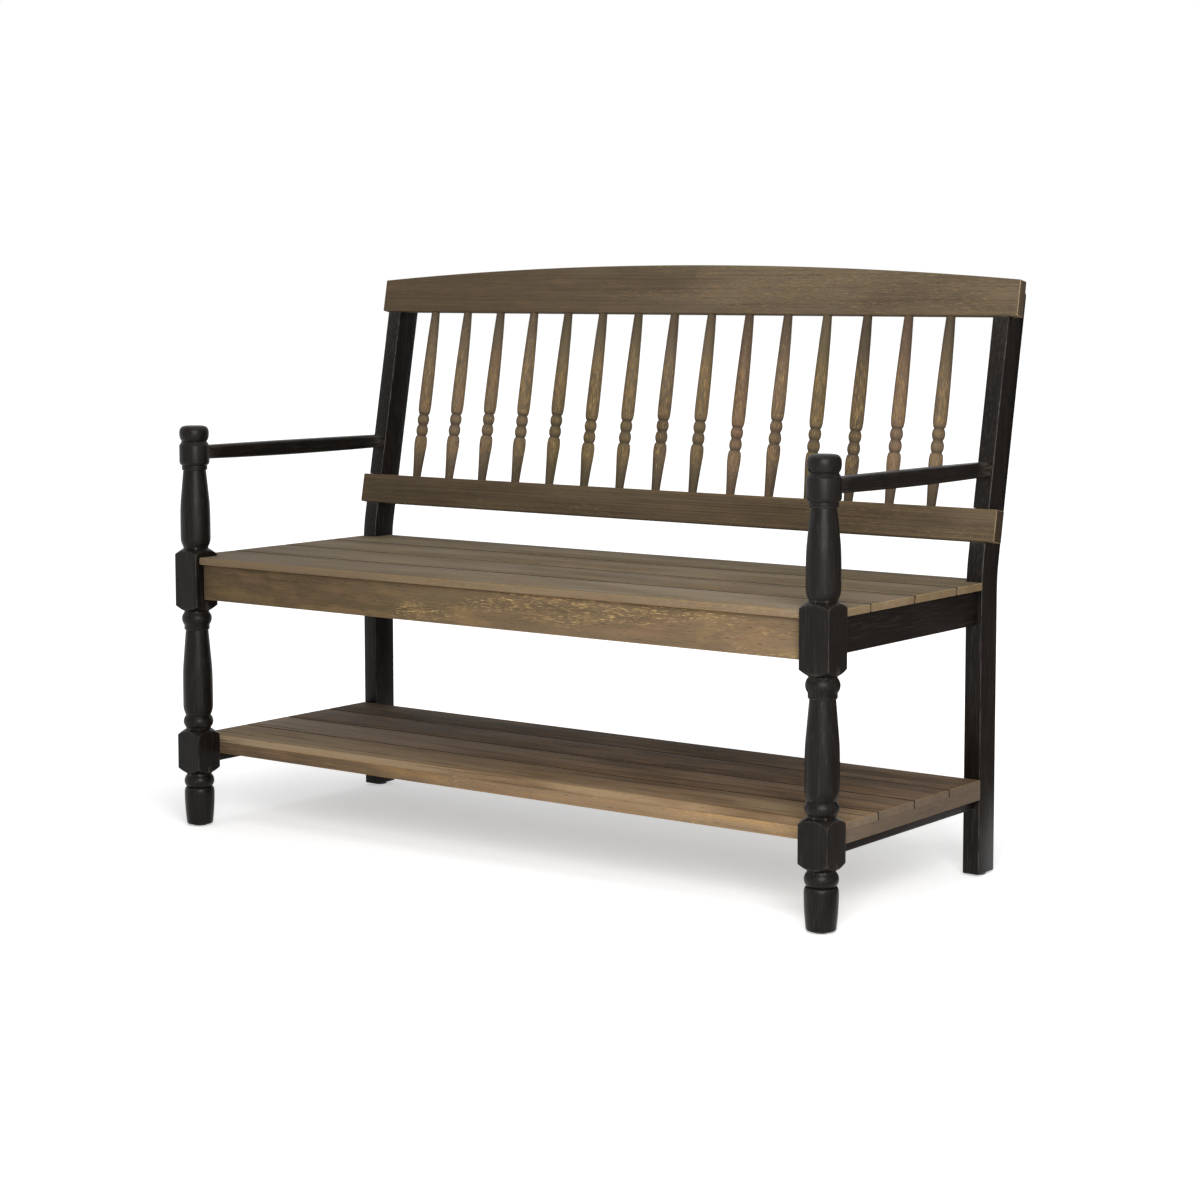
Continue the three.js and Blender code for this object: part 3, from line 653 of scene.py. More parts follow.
def black_paint(name, along, shift=0.0, straight=True):
    material, tree = new_material(name)
    place = grain_coordinates(tree)
    cloud = stretched_noise(tree, place, along, 30, 120, 3.0, 0.6, shift)
    fibre = stretched_noise(tree, place, along, 2.0, 60, 3.0, 0.65, shift + 5)
    scuff = stretched_noise(tree, place, along, 4.0, 22, 3.0, 0.6, shift + 9)

    colour = coat(tree, rgb(PAINT_BLACK), PAINT_THIN, (cloud, 0.35, 0.65))
    brushed = 0.75 if straight else 0.5
    colour = coat(tree, colour, PAINT_RIDGE, (fibre, 0.5, 0.7, 0.0, brushed))
    if straight:
        wear_and_highlight = [(squareness(tree), *EDGE_WORN), (scuff, 0.4, 0.62, 0.15, 0.8)]
    else:
        # On turned work the grey where the mesh is sharp is rubbed paint, and also a painted
        # highlight on the corners and bead crowns that catch the light.
        sharp = add_node(tree, "NewGeometry", output="Pointiness")
        wear_and_highlight = [(sharp, 0.515, 0.56), (scuff, 0.4, 0.62, 0.1, 0.8)]
    colour = coat(tree, colour, PAINT_WEAR_AND_HIGHLIGHT, *wear_and_highlight)

    rough = where(tree, (cloud, 0.3, 0.7, 0.42, 0.34))
    relief = {"Height": fibre, "Strength": brushed * 0.8, "Distance": mm(0.35)}
    bump = add_node(tree, "Bump", relief)
    surface = {"Base Color": colour, "Roughness": rough, "Normal": bump}
    finish_material(tree, {**surface, "IOR": 1.48, "Specular IOR Level": 0.15})
    return material


post_paint = black_paint("satin_black_paint_turned", "z", straight=False)
leg_paint = black_paint("satin_black_paint_upright", "z", shift=3.0)
arm_paint = black_paint("satin_black_paint_arm", "y", shift=5.0, straight=False)
rail_paint = black_paint("satin_black_paint_cross", "y", shift=7.0)

# %% [markdown]
# The connector bolts are turned steel with a dark plating, a metal with a soft and slightly cloudy
# shine. The glides are moulded nylon, even in colour and dull from the fine texture of the mould.
# That texture is drawn 0.8 mm wide, coarser than it is, so that it shows at all.

# %% Plated steel and moulded nylon
def dark_plated_steel():
    material, tree = new_material("dark_plated_steel")
    haze = stretched_noise(tree, grain_coordinates(tree), "x", 3, 3, 3.0)
    colour = coat(tree, rgb("#4a4a4b"), "#5f5e5d", (haze, 0.35, 0.65))
    rough = where(tree, (haze, 0.3, 0.7, 0.3, 0.42))
    finish_material(tree, {"Base Color": colour, "Metallic": 1.0, "Roughness": rough})
    return material


def moulded_nylon():
    material, tree = new_material("moulded_nylon")
    place = grain_coordinates(tree)
    grain = stretched_noise(tree, place, "x", 0.8, 0.8, 2.0)
    cloud = stretched_noise(tree, place, "x", 9, 9, 2.0, shift=3.0)
    colour = coat(tree, rgb("#2a211e"), "#352b27", (cloud, 0.3, 0.7))
    bump = add_node(tree, "Bump", {"Height": grain, "Strength": 0.3, "Distance": mm(0.1)})
    finish_material(tree, {"Base Color": colour, "Roughness": 0.55, "Normal": bump, "IOR": 1.53})
    return material


bolt_steel = dark_plated_steel()
glide_nylon = moulded_nylon()

# %% [markdown]
# A front post is turned from a square blank, and two blocks of it stay square where the rails come
# in. Each size below is a feature of the turning: its radius, or how high it is. A block reaches
# from a little above its boards to a little below its rails, and the other heights are stacked up
# and down from the two blocks.

# %% Sizes of a front post
FULL = POST / 2
NECK = FULL - 4.3
WAIST = FULL - 6.15
RING = FULL - 3.9
SHOULDER = 10
NECK_HIGH = 2.3
BEAD_HIGH = 21.2
RING_HIGH = 8.5
RING_STEP = 2.4
COLLAR_HIGH = 26
COLLAR_ROUND = 7.5
COLLAR_LIP = 1
KNOB_NECK = 7
KNOB_HIGH = 26
KNOB = FULL - 0.4
KNOB_FLAT = 13.5
BOARD_ROOM = 12.3
STRETCHER_HIGH = 34.7
APRON_HIGH = 60
VASE_DRAWS_IN = 0.51
VASE_EASED = 0.61
BELOW_STRETCHER, ABOVE_SHELF = 7, 2.5
BELOW_APRON, ABOVE_SEAT = 11, 3.4
lower_foot = SHELF_TOP - BOARD_ROOM - STRETCHER_HIGH - BELOW_STRETCHER
upper_foot = SEAT_TOP - BOARD_ROOM - APRON_HIGH - BELOW_APRON
lower_block = (lower_foot, SHELF_TOP + ABOVE_SHELF)
upper_block = (upper_foot, SEAT_TOP + ABOVE_SEAT)
print("square blocks from", lower_block, "and", upper_block)


# %% [markdown]
# The outline is drawn from the floor up: foot, bead, lower block, bead, long vase, ring and bead,
# upper block, vase, ring, collar and knob. A vase is full in its lower half and draws in to a slim
# waist. It and the ring come twice, so each has a function. The outline starts in the hole for the
# glide's nail.

# %% The outline of a front post
def vase(outline, top):
    foot = outline[-1][1]
    at = lambda part: foot + (top - foot) * part
    taper = FULL - (FULL - WAIST) * (VASE_EASED - VASE_DRAWS_IN) / (1 - VASE_DRAWS_IN)
    curve(outline, (FULL, at(0.06)), (FULL, at(0.12)))
    outline.append((FULL, at(0.3)))
    curve(outline, (FULL, at(VASE_DRAWS_IN)), (taper, at(VASE_EASED)), 10)
    outline.append((WAIST, top))


def ring(outline, top):
    curve(outline, (RING, outline[-1][1]), (RING, outline[-1][1] + RING_STEP), 4)
    outline.append((RING, top))


def post_outline():
    ankle_top = lower_block[0] - SHOULDER - NECK_HIGH
    foot_top = ankle_top - BEAD_HIGH
    knee_foot = lower_block[1] + SHOULDER + NECK_HIGH
    hip_top = upper_block[0] - SHOULDER - NECK_HIGH
    hip_foot = hip_top - BEAD_HIGH
    collar_top = SEAT_TOP + ARM_ABOVE_SEAT + ARM_HIGH / 2 + COLLAR_LIP
    collar_foot = collar_top - COLLAR_HIGH
    ring_top = collar_foot - COLLAR_ROUND
    knob_foot = collar_top + KNOB_NECK
    knob_top = knob_foot + KNOB_HIGH
    hole, hole_top = NAIL / 2 + GAP, NAIL_TOP + GAP
    outline = [(0, hole_top), (hole, hole_top), (hole, STANDING), (FULL - 5.4, STANDING)]
    curve(outline, (FULL - 3.4, STANDING), (FULL - 3.2, 5.5), 4)
    curve(outline, (FULL, foot_top / 2), (FULL, foot_top - 10), 12)
    curve(outline, (FULL, foot_top), (NECK, foot_top))
    bead(outline, FULL, NECK, ankle_top)
    outline.append((NECK, knee_foot))
    bead(outline, FULL, NECK, knee_foot + BEAD_HIGH)
    vase(outline, hip_foot - RING_HIGH)
    ring(outline, hip_foot)
    bead(outline, FULL, RING, hip_top)
    outline.append((NECK, hip_top))
    outline.append((NECK, upper_block[1] + SHOULDER + NECK_HIGH))
    vase(outline, ring_top - RING_HIGH)
    ring(outline, ring_top)
    curve(outline, (FULL, ring_top + 1), (FULL, collar_foot))
    outline.append((FULL, collar_top - 1))
    curve(outline, (FULL - 0.1, collar_top), (FULL - 0.8, collar_top + 1), 4)
    curve(outline, (NECK + 1.5, collar_top + 3.5), (NECK, knob_foot), 8)
    curve(outline, (KNOB, knob_foot + 4), (KNOB, knob_foot + 13.5), 12)
    curve(outline, (KNOB, knob_top), (KNOB_FLAT, knob_top), 10)
    outline.append((0, knob_top))
    return outline


# %% [markdown]
# The square blocks keep the faces of the blank. Where the lathe tool leaves a block it cuts a
# sloping shoulder, which meets the flat faces in arcs. A turned shape that is as wide as the
# blank's corners, intersected with the square blank, gives those arcs. Then the blocks are joined
# to the turning. The blank is subdivided first, so that the wear and the painted highlight at its
# edges, which the paint reads off the mesh, stay there.

# %% Making the front posts
def square_block(name, foot, top):
    corner = FULL * math.sqrt(2) - 0.4
    low, high = foot - SHOULDER - 0.6, top + SHOULDER + 0.6
    inside = NECK - 1
    slope = [(0, low), (inside, low)]
    curve(slope, (NECK + 6, low + 4), (corner, foot), 6)
    slope.append((corner, top))
    curve(slope, (NECK + 6, high - 4), (inside, high), 6)
    slope.append((0, high))
    shoulders = turned("shoulders", slope, -POST_CENTRE, POST_Y, steps=72)
    blank_low = mm(-POST_CENTRE - FULL, POST_Y - FULL, low)
    blank_high = mm(-POST_CENTRE + FULL, POST_Y + FULL, high)
    blank = timber(name, blank_low, blank_high)
    edit(blank, "edges", lambda e: True, bpy.ops.mesh.subdivide, number_cuts=9)
    middle = mm(-POST_CENTRE, POST_Y)
    on_face = lambda place, k: abs(abs(place[k] - middle[k]) - mm(FULL)) < mm(0.1)
    ease_some(blank, 1.6, 3, lambda place: on_face(place, 0) and on_face(place, 1))
    saw(blank, shoulders, "INTERSECT")
    return blank


post = turned("front_post_left_turned", post_outline(), -POST_CENTRE, POST_Y)
saw(post, square_block("lower_square", *lower_block), "UNION")
saw(post, square_block("upper_square", *upper_block), "UNION")
hand_in_pair(post, "front_post_left", post_paint, angle=40)
print("post faces:", len(post.data.polygons))

# %% [markdown]
# A back leg is sawn from a plank: upright to the seat, then leaning back. It starts as a cube for
# the upright part. Its top face is then carried round the bend with the spin tool, about a centre
# behind the leg, and pulled straight up the lean. A mesh that is carried along like this keeps its
# section, as the bandsaw does. The spin tool turns the other way round from a right-hand screw. The
# top rear corner is then rounded.

# %% Making the back legs
BEND_REACH = 26
BEND_RADIUS = BEND_REACH / math.tan(RAKE / 2)
TOP_ROUND = 8
LEG_TOP = CREST_FOOT + 46.5
bend_start = BEND - LEG_DEEP * math.tan(RAKE / 2) - BEND_REACH
leg = timber(
    "back_leg_left_sawn",
    mm(-POST_CENTRE - LEG_WIDE / 2, LEG_FRONT, STANDING),
    mm(-POST_CENTRE + LEG_WIDE / 2, LEG_REAR, bend_start),
)
choose(leg, "faces", lambda f: f.normal.z > 0.9)
bpy.ops.mesh.spin(
    steps=8,
    angle=RAKE,
    center=mm(0, LEG_REAR + BEND_RADIUS, bend_start),
    axis=(1, 0, 0),
)
lean = Vector((0, math.sin(RAKE), math.cos(RAKE)))
front_start = Vector(mm(0, LEG_FRONT, BEND)) + lean * mm(LEG_TOP)
bend_end = max((v.co for v in bmesh.from_edit_mesh(leg.data).verts), key=lambda c: c.z).copy()
run = (front_start - bend_end).dot(lean)
bpy.ops.mesh.extrude_region_move(TRANSFORM_OT_translate={"value": lean * run})
bpy.ops.object.mode_set(mode="OBJECT")
print(f"leg: bend radius {BEND_RADIUS:.0f} mm behind, straight run {run / MM:.0f} mm")

top_rear = max(leg.data.vertices, key=lambda v: v.co.y).co.copy()
ease_some(leg, TOP_ROUND, 6, lambda place: (place - top_rear).yz.length < mm(0.5))

# %% [markdown]
# Two housings are sawn out of the front of a leg, so that the rails of the back lie flush with it.
# Two bolts come through from behind at each housing, and a nail from below. The housings are sawn
# before the edges are eased, and the holes are drilled after that, so their rims stay sharp.

# %% Housings, easing, bolt holes and nail holes
PAST_END = 700


def rail_housing(foot, top, depth):
    """A block from past the bench's end to inside the leg, and from the open air to the depth."""
    return leaned(timber("housing", mm(-PAST_END, -40, foot), mm(-500, depth + GAP, top)))


saw(leg, rail_housing(CREST_FOOT - GAP, CREST_FOOT + 90, CREST_THICK))
saw(leg, rail_housing(LOWER_FOOT - GAP, LOWER_TOP + GAP, LOWER_THICK))
ease(leg, 1.8, sharper_than=40)

BOLTS = [
    ("lower", LOWER_FOOT, LOWER_THICK),
    ("crest", CREST_FOOT, CREST_THICK),
]
SHANK = 3
BOLT_GRIP = 13
BOLT_HEIGHTS = (13, 35)


def bolt_holes(x, tilt=True):
    tools = []
    for _, foot, thick in BOLTS:
        for up in BOLT_HEIGHTS:
            start = mm(x, thick - BOLT_GRIP - GAP, foot + up)
            end = mm(x, LEG_DEEP * 2, foot + up)
            tools.append(rod(mm(2 * (SHANK + GAP)), start, end, 24))
    tool = as_one(tools)
    return leaned(tool) if tilt else tool


saw(leg, bolt_holes(-POST_CENTRE))
leg_middle = (LEG_FRONT + LEG_REAR) / 2
nail_hole = [mm(-POST_CENTRE, leg_middle, height) for height in (0, NAIL_TOP + GAP)]
saw(leg, rod(mm(NAIL + 2 * GAP), *nail_hole, 16))
hand_in_pair(leg, "back_leg_left", leg_paint, angle=30)

# %% [markdown]
# The boards of the seat and the shelf are plain planks, laid with a small gap. The shelf's boards
# are eased on top alone, because they sit on an edging that is flush with them. The first seat
# board is notched round the posts and the last one round the legs, so those notches are sawn before
# the edges are eased.

# %% Boards of the seat and the shelf
inner_post = POST_CENTRE - FULL
inner_leg = POST_CENTRE - LEG_WIDE / 2
for i in range(1, 5):
    low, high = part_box(f"shelf_board_{i}")
    board = timber(f"shelf_board_{i}_sawn", low, high)
    ease_some(board, 1.8, 3, lambda place: place.z > high[2] - mm(1))
    hand_in(board, f"shelf_board_{i}", shelf_woods[i - 1])

UNDER_SEAT, OVER_SEAT = 400, 500
NOTCHES = {
    1: (inner_post, POST_Y - 60, POST_Y + FULL + GAP),
    4: (inner_leg, LEG_FRONT - GAP, LEG_REAR + 60),
}
for i in range(1, 5):
    low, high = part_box(f"seat_board_{i}")
    board = timber(f"seat_board_{i}_sawn", low, high)
    if i in NOTCHES:
        inner, front, rear = NOTCHES[i]
        for x0, x1 in ((-PAST_END, GAP - inner), (inner - GAP, PAST_END)):
            notch = timber("notch", mm(x0, front, UNDER_SEAT), mm(x1, rear, OVER_SEAT))
            saw(board, notch)
    ease(board, 2.2, segments=4)
    hand_in(board, f"seat_board_{i}", seat_woods[i - 1])

# %% [markdown]
# The aprons and stretchers run between the posts and legs, and end in tenons there. Their CAD boxes
# include those hidden tenons, so here the pieces are measured from the posts and legs that they
# stand between. The bearers lie under the boards, and have none.

# %% Aprons, stretchers and bearers
def straight(node, slot, material, low, high):
    piece = timber(node + "_sawn", low, high)
    ease(piece, 2.0)
    hand_in(piece, node, material)


for node, inner in (("seat_front_apron", inner_post), ("seat_back_apron", inner_leg)):
    (_, y0, z0), (_, y1, z1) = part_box(node)
    x0, x1 = mm(GAP - inner, inner - GAP)
    straight(node, "stained_wood", apron_wood, (x0, y0, z0), (x1, y1, z1))
y0, y1 = mm(POST_Y + FULL + GAP, LEG_FRONT - GAP)
for side in ENDS:
    for node in (f"seat_side_apron_{side}", f"shelf_stretcher_{side}"):
        (x0, _, z0), (x1, _, z1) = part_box(node)
        straight(node, "black_paint", rail_paint, (x0, y0, z0), (x1, y1, z1))
    for node in (f"seat_bearer_{side}", f"shelf_bearer_{side}"):
        straight(node, "stained_wood", cross_wood, *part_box(node))

# %% [markdown]
# Under the shelf, a rail at the front and back and a trim at each end close the edge of the boards.
# They were glued on and sanded flush, so no line shows between them and the boards, and only their
# lower edges are eased.

# %% Rails and trims under the shelf
edging = [("shelf_front_rail", shelf_rail_wood), ("shelf_rear_rail", shelf_woods[3])]
edging += [("shelf_end_trim_left", cross_wood), ("shelf_end_trim_right", cross_wood)]
for node, wood in edging:
    low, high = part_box(node)
    piece = timber(node + "_sawn", low, high)
    ease_some(piece, 1.6, 3, lambda place: place.z < low[2] + mm(1))
    hand_in(piece, node, wood)
print("pieces so far:", len(made))

# %% [markdown]
# An arm is a slim bar between the collar of a post and the front of a leg. It is sawn from a blank
# that is subdivided along its length, so that the underside can belly down and the top can crown a
# little. Its front end is scooped to fit the round collar, and its rear end is cut to the lean of
# the leg.

# %% Making the arms
ARM_WIDE = 24
ARM_DROP = 2.8
ARM_CROWN = 0.6
ARM_BELLY = -2.4
ARM_STEPS = 16
ARM_ROUND = 6
arm_z = SEAT_TOP + ARM_ABOVE_SEAT
arm_end = LEG_FRONT + (arm_z - ARM_DROP - BEND) * math.tan(RAKE)
arm = timber(
    "arm_left_shaped",
    mm(-POST_CENTRE - ARM_WIDE / 2, POST_Y, arm_z - ARM_HIGH / 2),
    mm(-POST_CENTRE + ARM_WIDE / 2, arm_end, arm_z + ARM_HIGH / 2),
)
reach = lambda e: abs(e.verts[0].co.y - e.verts[1].co.y)
along_arm = lambda e: reach(e) > mm(100)
edit(arm, "edges", along_arm, bpy.ops.mesh.subdivide, number_cuts=ARM_STEPS - 1)
for i in range(ARM_STEPS + 1):
    t = i / ARM_STEPS
    y = POST_Y + (arm_end - POST_Y) * t
    for top, bulge in ((True, ARM_CROWN), (False, ARM_BELLY)):
        slant = 0
        if i == ARM_STEPS:
            slant = (ARM_HIGH / 2 if top else -ARM_HIGH / 2) * math.tan(RAKE) - GAP
        shift = mm(0, slant, -ARM_DROP * t + 4 * bulge * t * (1 - t))
        here = lambda v: abs(v.co.y - mm(y)) < mm(1) and (v.co.z > mm(arm_z)) == top
        edit(arm, "verts", here, bpy.ops.transform.translate, value=shift)
sharp = lambda e: len(e.link_faces) == 2 and e.calc_face_angle(0) > math.radians(45)
long_edge = lambda e: reach(e) > mm(5) and sharp(e)
edit(arm, "edges", long_edge, bpy.ops.mesh.bevel, offset=mm(ARM_ROUND), segments=5)
collar = [mm(-POST_CENTRE, POST_Y, height) for height in (500, 760)]
saw(arm, rod(mm(POST + 2 * GAP), *collar, 64))
hand_in_pair(arm, "arm_left", arm_paint, angle=40)

# %% [markdown]
# The crest rail is a plank whose top edge is sawn to a shallow arc. The plank is subdivided along
# its length, and each column of the top is lifted to the arc's height, which leaves the ends
# square. The lower rail is straight.

# %% Making the two rails of the back
CREST_END = 57.2
CREST_RISE = 25.5
COLUMNS = 40
crest = timber(
    "crest_rail_sawn",
    mm(-RAIL_HALF, 0, CREST_FOOT),
    mm(RAIL_HALF, CREST_THICK, CREST_FOOT + CREST_END),
)
along_rail = lambda e: abs(e.verts[0].co.x - e.verts[1].co.x) > mm(500)
edit(crest, "edges", along_rail, bpy.ops.mesh.subdivide, number_cuts=COLUMNS - 1)
arc_radius = (RAIL_HALF**2 + CREST_RISE**2) / (2 * CREST_RISE)
middle_z = CREST_FOOT + CREST_END / 2
for i in range(1, COLUMNS):
    x = -RAIL_HALF + 2 * RAIL_HALF * i / COLUMNS
    lift = math.sqrt(arc_radius**2 - x**2) - (arc_radius - CREST_RISE)
    column = lambda v: abs(v.co.x - mm(x)) < mm(2) and v.co.z > mm(middle_z)
    edit(crest, "verts", column, bpy.ops.transform.translate, value=mm(0, 0, lift))
ease(crest, 2.2, sharper_than=40)
lower = timber(
    "lower_back_rail_sawn",
    mm(-RAIL_HALF, 0, LOWER_FOOT),
    mm(RAIL_HALF, LOWER_THICK, LOWER_TOP),
)
ease(lower, 2.2)

# %% [markdown]
# Both rails are bored for the spindles, in a row of fifteen at one pitch, and for the bolts that
# come through the legs. All the bores of a row are joined and cut at once. Only then do the rails
# lean back.

# %% Boring the rails
SPINDLES = 15
SPINDLE_Y = 8.5
SPINDLE_TENON = 12.6
TENON_DEEP = 12
END_SPACE = 78.5
pitch = 2 * (inner_leg - END_SPACE) / (SPINDLES - 1)
spindle_places = [(i - (SPINDLES - 1) / 2) * pitch for i in range(SPINDLES)]
print(f"spindle pitch {pitch:.1f} mm")


def spindle_holes(foot, top):
    bore = mm(SPINDLE_TENON + 2 * GAP)
    ends = [(mm(x, SPINDLE_Y, foot), mm(x, SPINDLE_Y, top)) for x in spindle_places]
    return as_one([rod(bore, start, end, 24) for start, end in ends])


saw(crest, spindle_holes(CREST_FOOT - 10, CREST_FOOT + TENON_DEEP + GAP))
saw(lower, spindle_holes(LOWER_TOP - TENON_DEEP - GAP, LOWER_TOP + 10))
for rail in (crest, lower):
    for x in ENDS.values():
        saw(rail, bolt_holes(x, tilt=False))
hand_in(leaned(crest), "crest_rail", crest_wood)
hand_in(leaned(lower), "lower_back_rail", lower_wood)

# %% [markdown]
# The fifteen spindles are turned alike: a tapered foot, a small vase, two beads and a long vase
# that tapers to the top, with a plain pin at each end for the bores. One spindle is turned, to be
# copied. Its heights are shares of the open back, so it always fits between the rails.

# %% Turning the spindles
END = SPINDLE_TENON / 2 + 0.9
SWELL = 22.6 / 2
SPINDLE_BEAD = 21 / 2
SPINDLE_NECK = 15.4 / 2
OPEN_BACK = CREST_FOOT - LOWER_TOP
VASE_TOP, BEADS_FOOT, BEADS_TOP, LONG_VASE = 0.19, 0.262, 0.392, 0.46
up = lambda part: LOWER_TOP + OPEN_BACK * part
pin = SPINDLE_TENON / 2
pin_foot, pin_top = LOWER_TOP - TENON_DEEP, CREST_FOOT + TENON_DEEP
outline = [(0, pin_foot), (pin, pin_foot), (pin, LOWER_TOP + GAP), (END, LOWER_TOP + GAP)]
curve(outline, (END + 1.6, up(0.1)), (SWELL - 0.3, up(VASE_TOP)), 8)
curve(outline, (SWELL + 0.1, up(0.215)), (SWELL - 0.3, up(0.235)), 4)
curve(outline, (SWELL - 1.0, up(BEADS_FOOT)), (SPINDLE_NECK, up(BEADS_FOOT)), 5)
bead(outline, SPINDLE_BEAD, SPINDLE_NECK, up(0.328), 10)
bead(outline, SPINDLE_BEAD, SPINDLE_NECK, up(BEADS_TOP), 10)
curve(outline, (SWELL, up(BEADS_TOP)), (SWELL, up(LONG_VASE)), 8)
curve(outline, (SWELL, up(0.72)), (END, CREST_FOOT - GAP), 14)
outline += [(pin, CREST_FOOT - GAP), (pin, pin_top), (0, pin_top)]
pattern = turned("pattern_spindle", outline, 0, SPINDLE_Y, steps=36)

# %% [markdown]
# By hand, no two spindles come out the same, and on this bench the beads sit up to 7.5 mm above
# or below those of the pattern. In each copy the beads slide along with proportional editing,
# which takes the swellings with them and leaves the ends where they are. The wood needs the
# spindles' pitch and axis, and the axis is worked out as the pattern sees it, with the back
# turned upright.

# %% Wood of the spindles, and the slide of their beads
bend_upright = Matrix.Rotation(RAKE, 4, "X") @ Vector(mm(0, LEG_FRONT, BEND))
axis_y = bend_upright.y + mm(SPINDLE_Y)
spindle_wood = stained_hardwood(
    "hardwood_stained_turned", "#6c5f4e", "#504739", "#7f6646",
    along="z", turn=BACK_TURN, shift=8.0, turning=(mm(pitch), axis_y),
    streaks=0.2, blotches=0.35,
)
SLIDE_REACH = 50
HAIR = 1e-5
low, high = mm(up(VASE_TOP), up(LONG_VASE))
BEAD_SLIDES = [-4.5, -1.8, 1.2, 0.3, 3.3, -3.9, -1.8, 1.8, 1.8, -5.7, 7.5, -2.7, -3.9, 3.0, 5.1]
for i, (x, slide) in enumerate(zip(spindle_places, BEAD_SLIDES), start=1):
    spindle = copied(pattern, f"spindle_{i:02d}_turned", mm(x, 0, 0))
    edit(
        spindle,
        "verts",
        lambda v: low - HAIR < v.co.z < high + HAIR,
        bpy.ops.transform.translate,
        value=mm(0, 0, slide),
        use_proportional_edit=True,
        proportional_edit_falloff="SMOOTH",
        proportional_size=mm(SLIDE_REACH),
    )
    hand_in(leaned(spindle), f"spindle_{i:02d}", spindle_wood, angle=45)
bpy.data.objects.remove(pattern)
print("spindles turned:", SPINDLES)

# %% [markdown]
# A connector bolt has a low round head with a six-sided socket, and lies across the leg into the
# rail. It is turned upright, the socket is sunk with a six-sided cutter, and it is then laid on its
# side.

# %% Making the bolts
HEAD = 6.5
HEAD_HIGH = 4.35
SOCKET = 5
SOCKET_DEEP = 2.6
for word, foot, thick in BOLTS:
    length = LEG_DEEP - thick + BOLT_GRIP
    outline = [(0, 0), (SHANK - 0.6, 0), (SHANK, 0.6), (SHANK, length + GAP)]
    outline += [(HEAD - 0.4, length + GAP), (HEAD, length + GAP + 0.5)]
    socket_top = length + HEAD_HIGH
    curve(outline, (HEAD, socket_top), (SHANK, socket_top), 8)
    outline.append((0, socket_top))
    pattern = turned("pattern_bolt", outline, 0, 0, steps=32)
    saw(pattern, rod(mm(SOCKET), mm(0, 0, socket_top - SOCKET_DEEP), mm(0, 0, socket_top + 1), 6))
    pattern.rotation_euler = (-math.pi / 2, 0, 0)
    settle(pattern)
    for side, x in ENDS.items():
        for count, height in enumerate(BOLT_HEIGHTS, start=1):
            place = mm(x, thick - BOLT_GRIP, foot + height)
            node = f"back_bolt_{word}_{side}_{count}"
            bolt = copied(pattern, f"{node}_turned", place)
            hand_in(leaned(bolt), node, bolt_steel)
    bpy.data.objects.remove(pattern)

# %% [markdown]
# Each foot stands on a small nylon glide, a disc with a rounded rim and a nail that goes up into
# the foot. It keeps the end grain off a wet floor and lets the bench slide.

# %% Making the glides
GLIDE = 12
GLIDE_ROUND = 1.5
outline = [(0, 0), (GLIDE - GLIDE_ROUND, 0)]
curve(outline, (GLIDE, 0), (GLIDE, GLIDE_ROUND), 5)
outline += [(GLIDE, GLIDE_THICK), (NAIL / 2, GLIDE_THICK), (NAIL / 2, NAIL_TOP), (0, NAIL_TOP)]
for side, x in ENDS.items():
    for word, y in (("front", POST_Y), ("rear", leg_middle)):
        glide = turned(f"glide_{word}_{side}_moulded", outline, x, y, steps=40)
        hand_in(glide, f"glide_{word}_{side}", glide_nylon, angle=40)
print("pieces made:", len(made), "of", len(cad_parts), "nodes")

# %% [markdown]
# The bench stands on a wide white floor against white, as in a catalogue. A weak, even sky fills
# the shadows. A softbox near the front right corner gives the turnings their shape and lights the
# right end more than the left, and a wide one overhead lights the seat. Cards and cloths behind the
# right end keep the painted side faces dark, because they would mirror the white room. To the eye
# the floor glows, little near the bench and fully far off, so that it meets the white background
# and keeps the shadow.

# %% Floor, light and background
FLOOR_M = 60
nothing_selected()
bpy.ops.mesh.primitive_plane_add(size=FLOOR_M, location=(0, 0, 0))
floor = bpy.context.object
floor.name = "studio_floor"
floor_material, tree = new_material("studio_floor_matt_white")
place = add_node(tree, "TexCoord", output="Object")
mottle = add_node(tree, "TexNoise", {"Vector": place, "Scale": 1.5})
white = add_node(tree, "Mix", (mottle, rgb("#fafafa"), rgb("#fefefe")), data_type="RGBA")


def seen_ray(tree):
    """1 for what the camera sees, straight, in a reflection or through glass."""
    rays = add_node(tree, "LightPath").node.outputs
    straight_or_mirrored = (rays["Is Camera Ray"], rays["Is Glossy Ray"])
    seen = add_node(tree, "Math", straight_or_mirrored, operation="MAXIMUM")
    return add_node(tree, "Math", (seen, rays["Is Transmission Ray"]), operation="MAXIMUM")


GLOW_NEAR, GLOW_FAR = 0.45, 0.95
NEAR_M, FAR_M = 0.7, 1.9
from_front = add_node(tree, "Mapping", {"Vector": place, "Location": (0, 0.4, 0)})
far_off = add_node(tree, "VectorMath", (from_front,), operation="LENGTH")
strength = where(tree, (far_off, NEAR_M, FAR_M, GLOW_NEAR, GLOW_FAR))
seen_glow = add_node(tree, "Math", (seen_ray(tree), strength), operation="MULTIPLY")
matt = add_node(tree, "BsdfDiffuse", {"Color": white})
glow = add_node(tree, "Emission", {"Color": white, "Strength": seen_glow})
add_node(tree, "OutputMaterial", {"Surface": add_node(tree, "AddShader", (matt, glow))})
floor.data.materials.append(floor_material)

world = bpy.data.worlds.new("studio")
bpy.context.scene.world = world
world.use_nodes = True
tree = world.node_tree
tree.nodes.clear()
SKY = 0.28
level = where(tree, (seen_ray(tree), 0.0, 1.0, SKY, 1.0))
sky = add_node(tree, "Background", {"Color": rgb("#ffffff"), "Strength": level})
add_node(tree, "OutputWorld", {"Surface": sky})


def softbox(name, watts, size, place, target):
    data = bpy.data.lights.new(name, "AREA")
    data.energy = watts
    data.shape = "SQUARE"
    data.size = size
    lamp = bpy.data.objects.new(name, data)
    bpy.context.collection.objects.link(lamp)
    lamp.location = place
    lamp.rotation_euler = (Vector(target) - Vector(place)).to_track_quat("-Z", "Y").to_euler()


